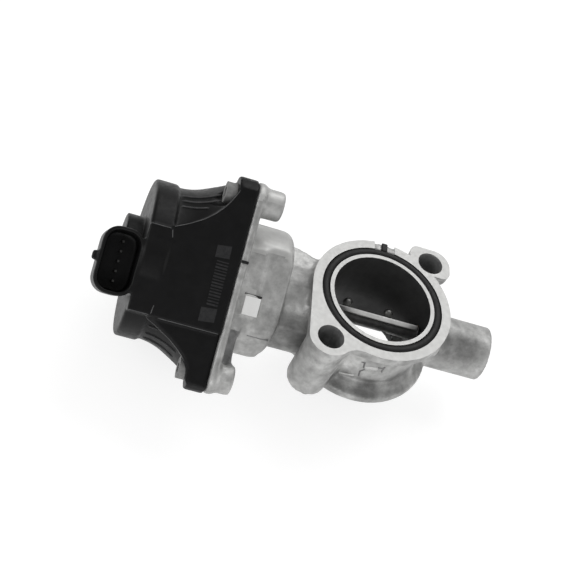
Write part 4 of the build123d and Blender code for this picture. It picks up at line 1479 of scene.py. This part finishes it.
# ---------------------------------------------------------------- studio
@dataclass
class Studio:
    """Floor, sky, lamps and camera.

    Attributes:
        floor_size: side of the floor in metres.
        floor_gap: gap between the floor and the object in metres.
        floor_tone: tone of the floor as the lamps light it.
        floor_glow: what is seen of the floor beyond that light.
        sky_light: strength of the light from all round.
        aim: place that the lamps face, in metres.
        lamps: name, place, size and power of each soft box.
    """

    floor_size: float = 8.0
    floor_gap: float = 0.0002
    floor_tone: float = 0.38
    floor_glow: float = 0.78
    sky_light: float = 0.38
    aim: Triple = (-0.02, 0.0, -0.02)
    lamps: tuple = (("soft_top", (0.35, 0.9, 1.15), 1.1, 8.8), ("soft_front", (-0.2, -1.3, 0.35), 0.8, 4.6),
                    ("soft_left", (-1.3, -0.1, 0.6), 0.8, 5.0), ("soft_right", (1.5, -0.5, 0.5), 0.7, 2.5))

    def build(self) -> None:
        """Set up everything that isn't the object."""
        self.floor()
        self.sky()
        for name, place, size, power in self.lamps:
            self.lamp(name, place, size, power)
        self.camera()
        bpy.context.scene.view_settings.view_transform = "Standard"
        log.info("studio: floor, sky, lamps and camera")

    def floor(self) -> None:
        """Lay a white floor just under the object's lowest point."""
        low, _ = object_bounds()
        height = low[2] - self.floor_gap
        half = self.floor_size / 2
        corners = np.array([(-half, -half, height), (half, -half, height), (half, half, height),
                            (-half, half, height)])
        floor = new_piece("studio_floor", corners, [(0, 1, 2, 3)], False)
        shader = Shader("white_paper")
        rays = shader.node("LightPath", {}).outputs
        seen = shader.math("ADD", rays["Is Camera Ray"], rays["Is Glossy Ray"])
        seen = shader.math("ADD", seen, rays["Is Transmission Ray"])
        shader.fill(shader.surface, {"Base Color": (self.floor_tone, self.floor_tone, self.floor_tone, 1.0),
                                     "Roughness": 0.9, "Specular IOR Level": 0.0, "Emission Color": WHITE,
                                     "Emission Strength": shader.math("MULTIPLY", seen, self.floor_glow)})
        floor.data.materials.append(shader.material)
        floor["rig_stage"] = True

    def sky(self) -> None:
        """Light from all round, white where it is seen by the camera."""
        world = bpy.data.worlds.new("studio_sky")
        bpy.context.scene.world = world
        world.use_nodes = True
        wiring = Wiring(world.node_tree)
        lit = wiring.fill(wiring.tree.nodes["Background"], {"Color": WHITE, "Strength": self.sky_light})
        seen = wiring.node("Background", {"Color": WHITE, "Strength": 1.0})
        rays = wiring.node("LightPath", {}).outputs
        both = wiring.math("ADD", rays["Is Camera Ray"], rays["Is Transmission Ray"])
        mix = wiring.node("MixShader", {"Fac": both, 1: lit.outputs[0], 2: seen.outputs[0]})
        wiring.fill(wiring.tree.nodes["World Output"], {"Surface": mix.outputs[0]})

    def lamp(self, name: str, place: Triple, size: float, power: float) -> None:
        """Hang one square soft box that faces the object.

        Args:
            name: object name.
            place: its place in metres.
            size: its side in metres.
            power: its power in watts.
        """
        data = bpy.data.lights.new(name, "AREA")
        data.size = size
        data.energy = power
        lamp = placed(name, data)
        lamp.location = place
        lamp.rotation_euler = (Vector(self.aim) - Vector(place)).to_track_quat("-Z", "Y").to_euler()

    def camera(self) -> None:
        """Place the camera from its solved axes and shift."""
        axes = Matrix(CAMERA_AXES).transposed()
        data = bpy.data.cameras.new("camera")
        data.sensor_width = SENSOR_WIDTH
        data.lens = CAMERA_FOCAL / PICTURE_WIDTH * SENSOR_WIDTH
        data.clip_start = 0.01
        camera = placed("camera", data)
        camera.matrix_world = Matrix.Translation(-(axes @ Vector(CAMERA_SHIFT))) @ axes.to_4x4()
        bpy.context.scene.camera = camera


def dress_nodes(frame: dict) -> None:
    """Give each CAD node the finish of its slot.

    Args:
        frame: the loaded frame.
    """
    for subpart in frame["record"]["subparts"]:
        node = frame["nodes"][subpart["node"]]
        node.data.materials.clear()
        finish = NODE_FINISH.get(subpart["node"], SLOT_FINISH[subpart["material_slot"]])
        node.data.materials.append(finish.material())


def main() -> None:
    """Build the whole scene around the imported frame."""
    logging.basicConfig(level=logging.INFO, format="%(name)s: %(message)s")
    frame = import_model()
    dress_nodes(frame)
    ValveHousing(frame).build()
    FlangeSeal().build()
    FlapScrews().build()
    ActuatorCover(frame).build()
    Studio().build()


if __name__ == "__main__":
    main()
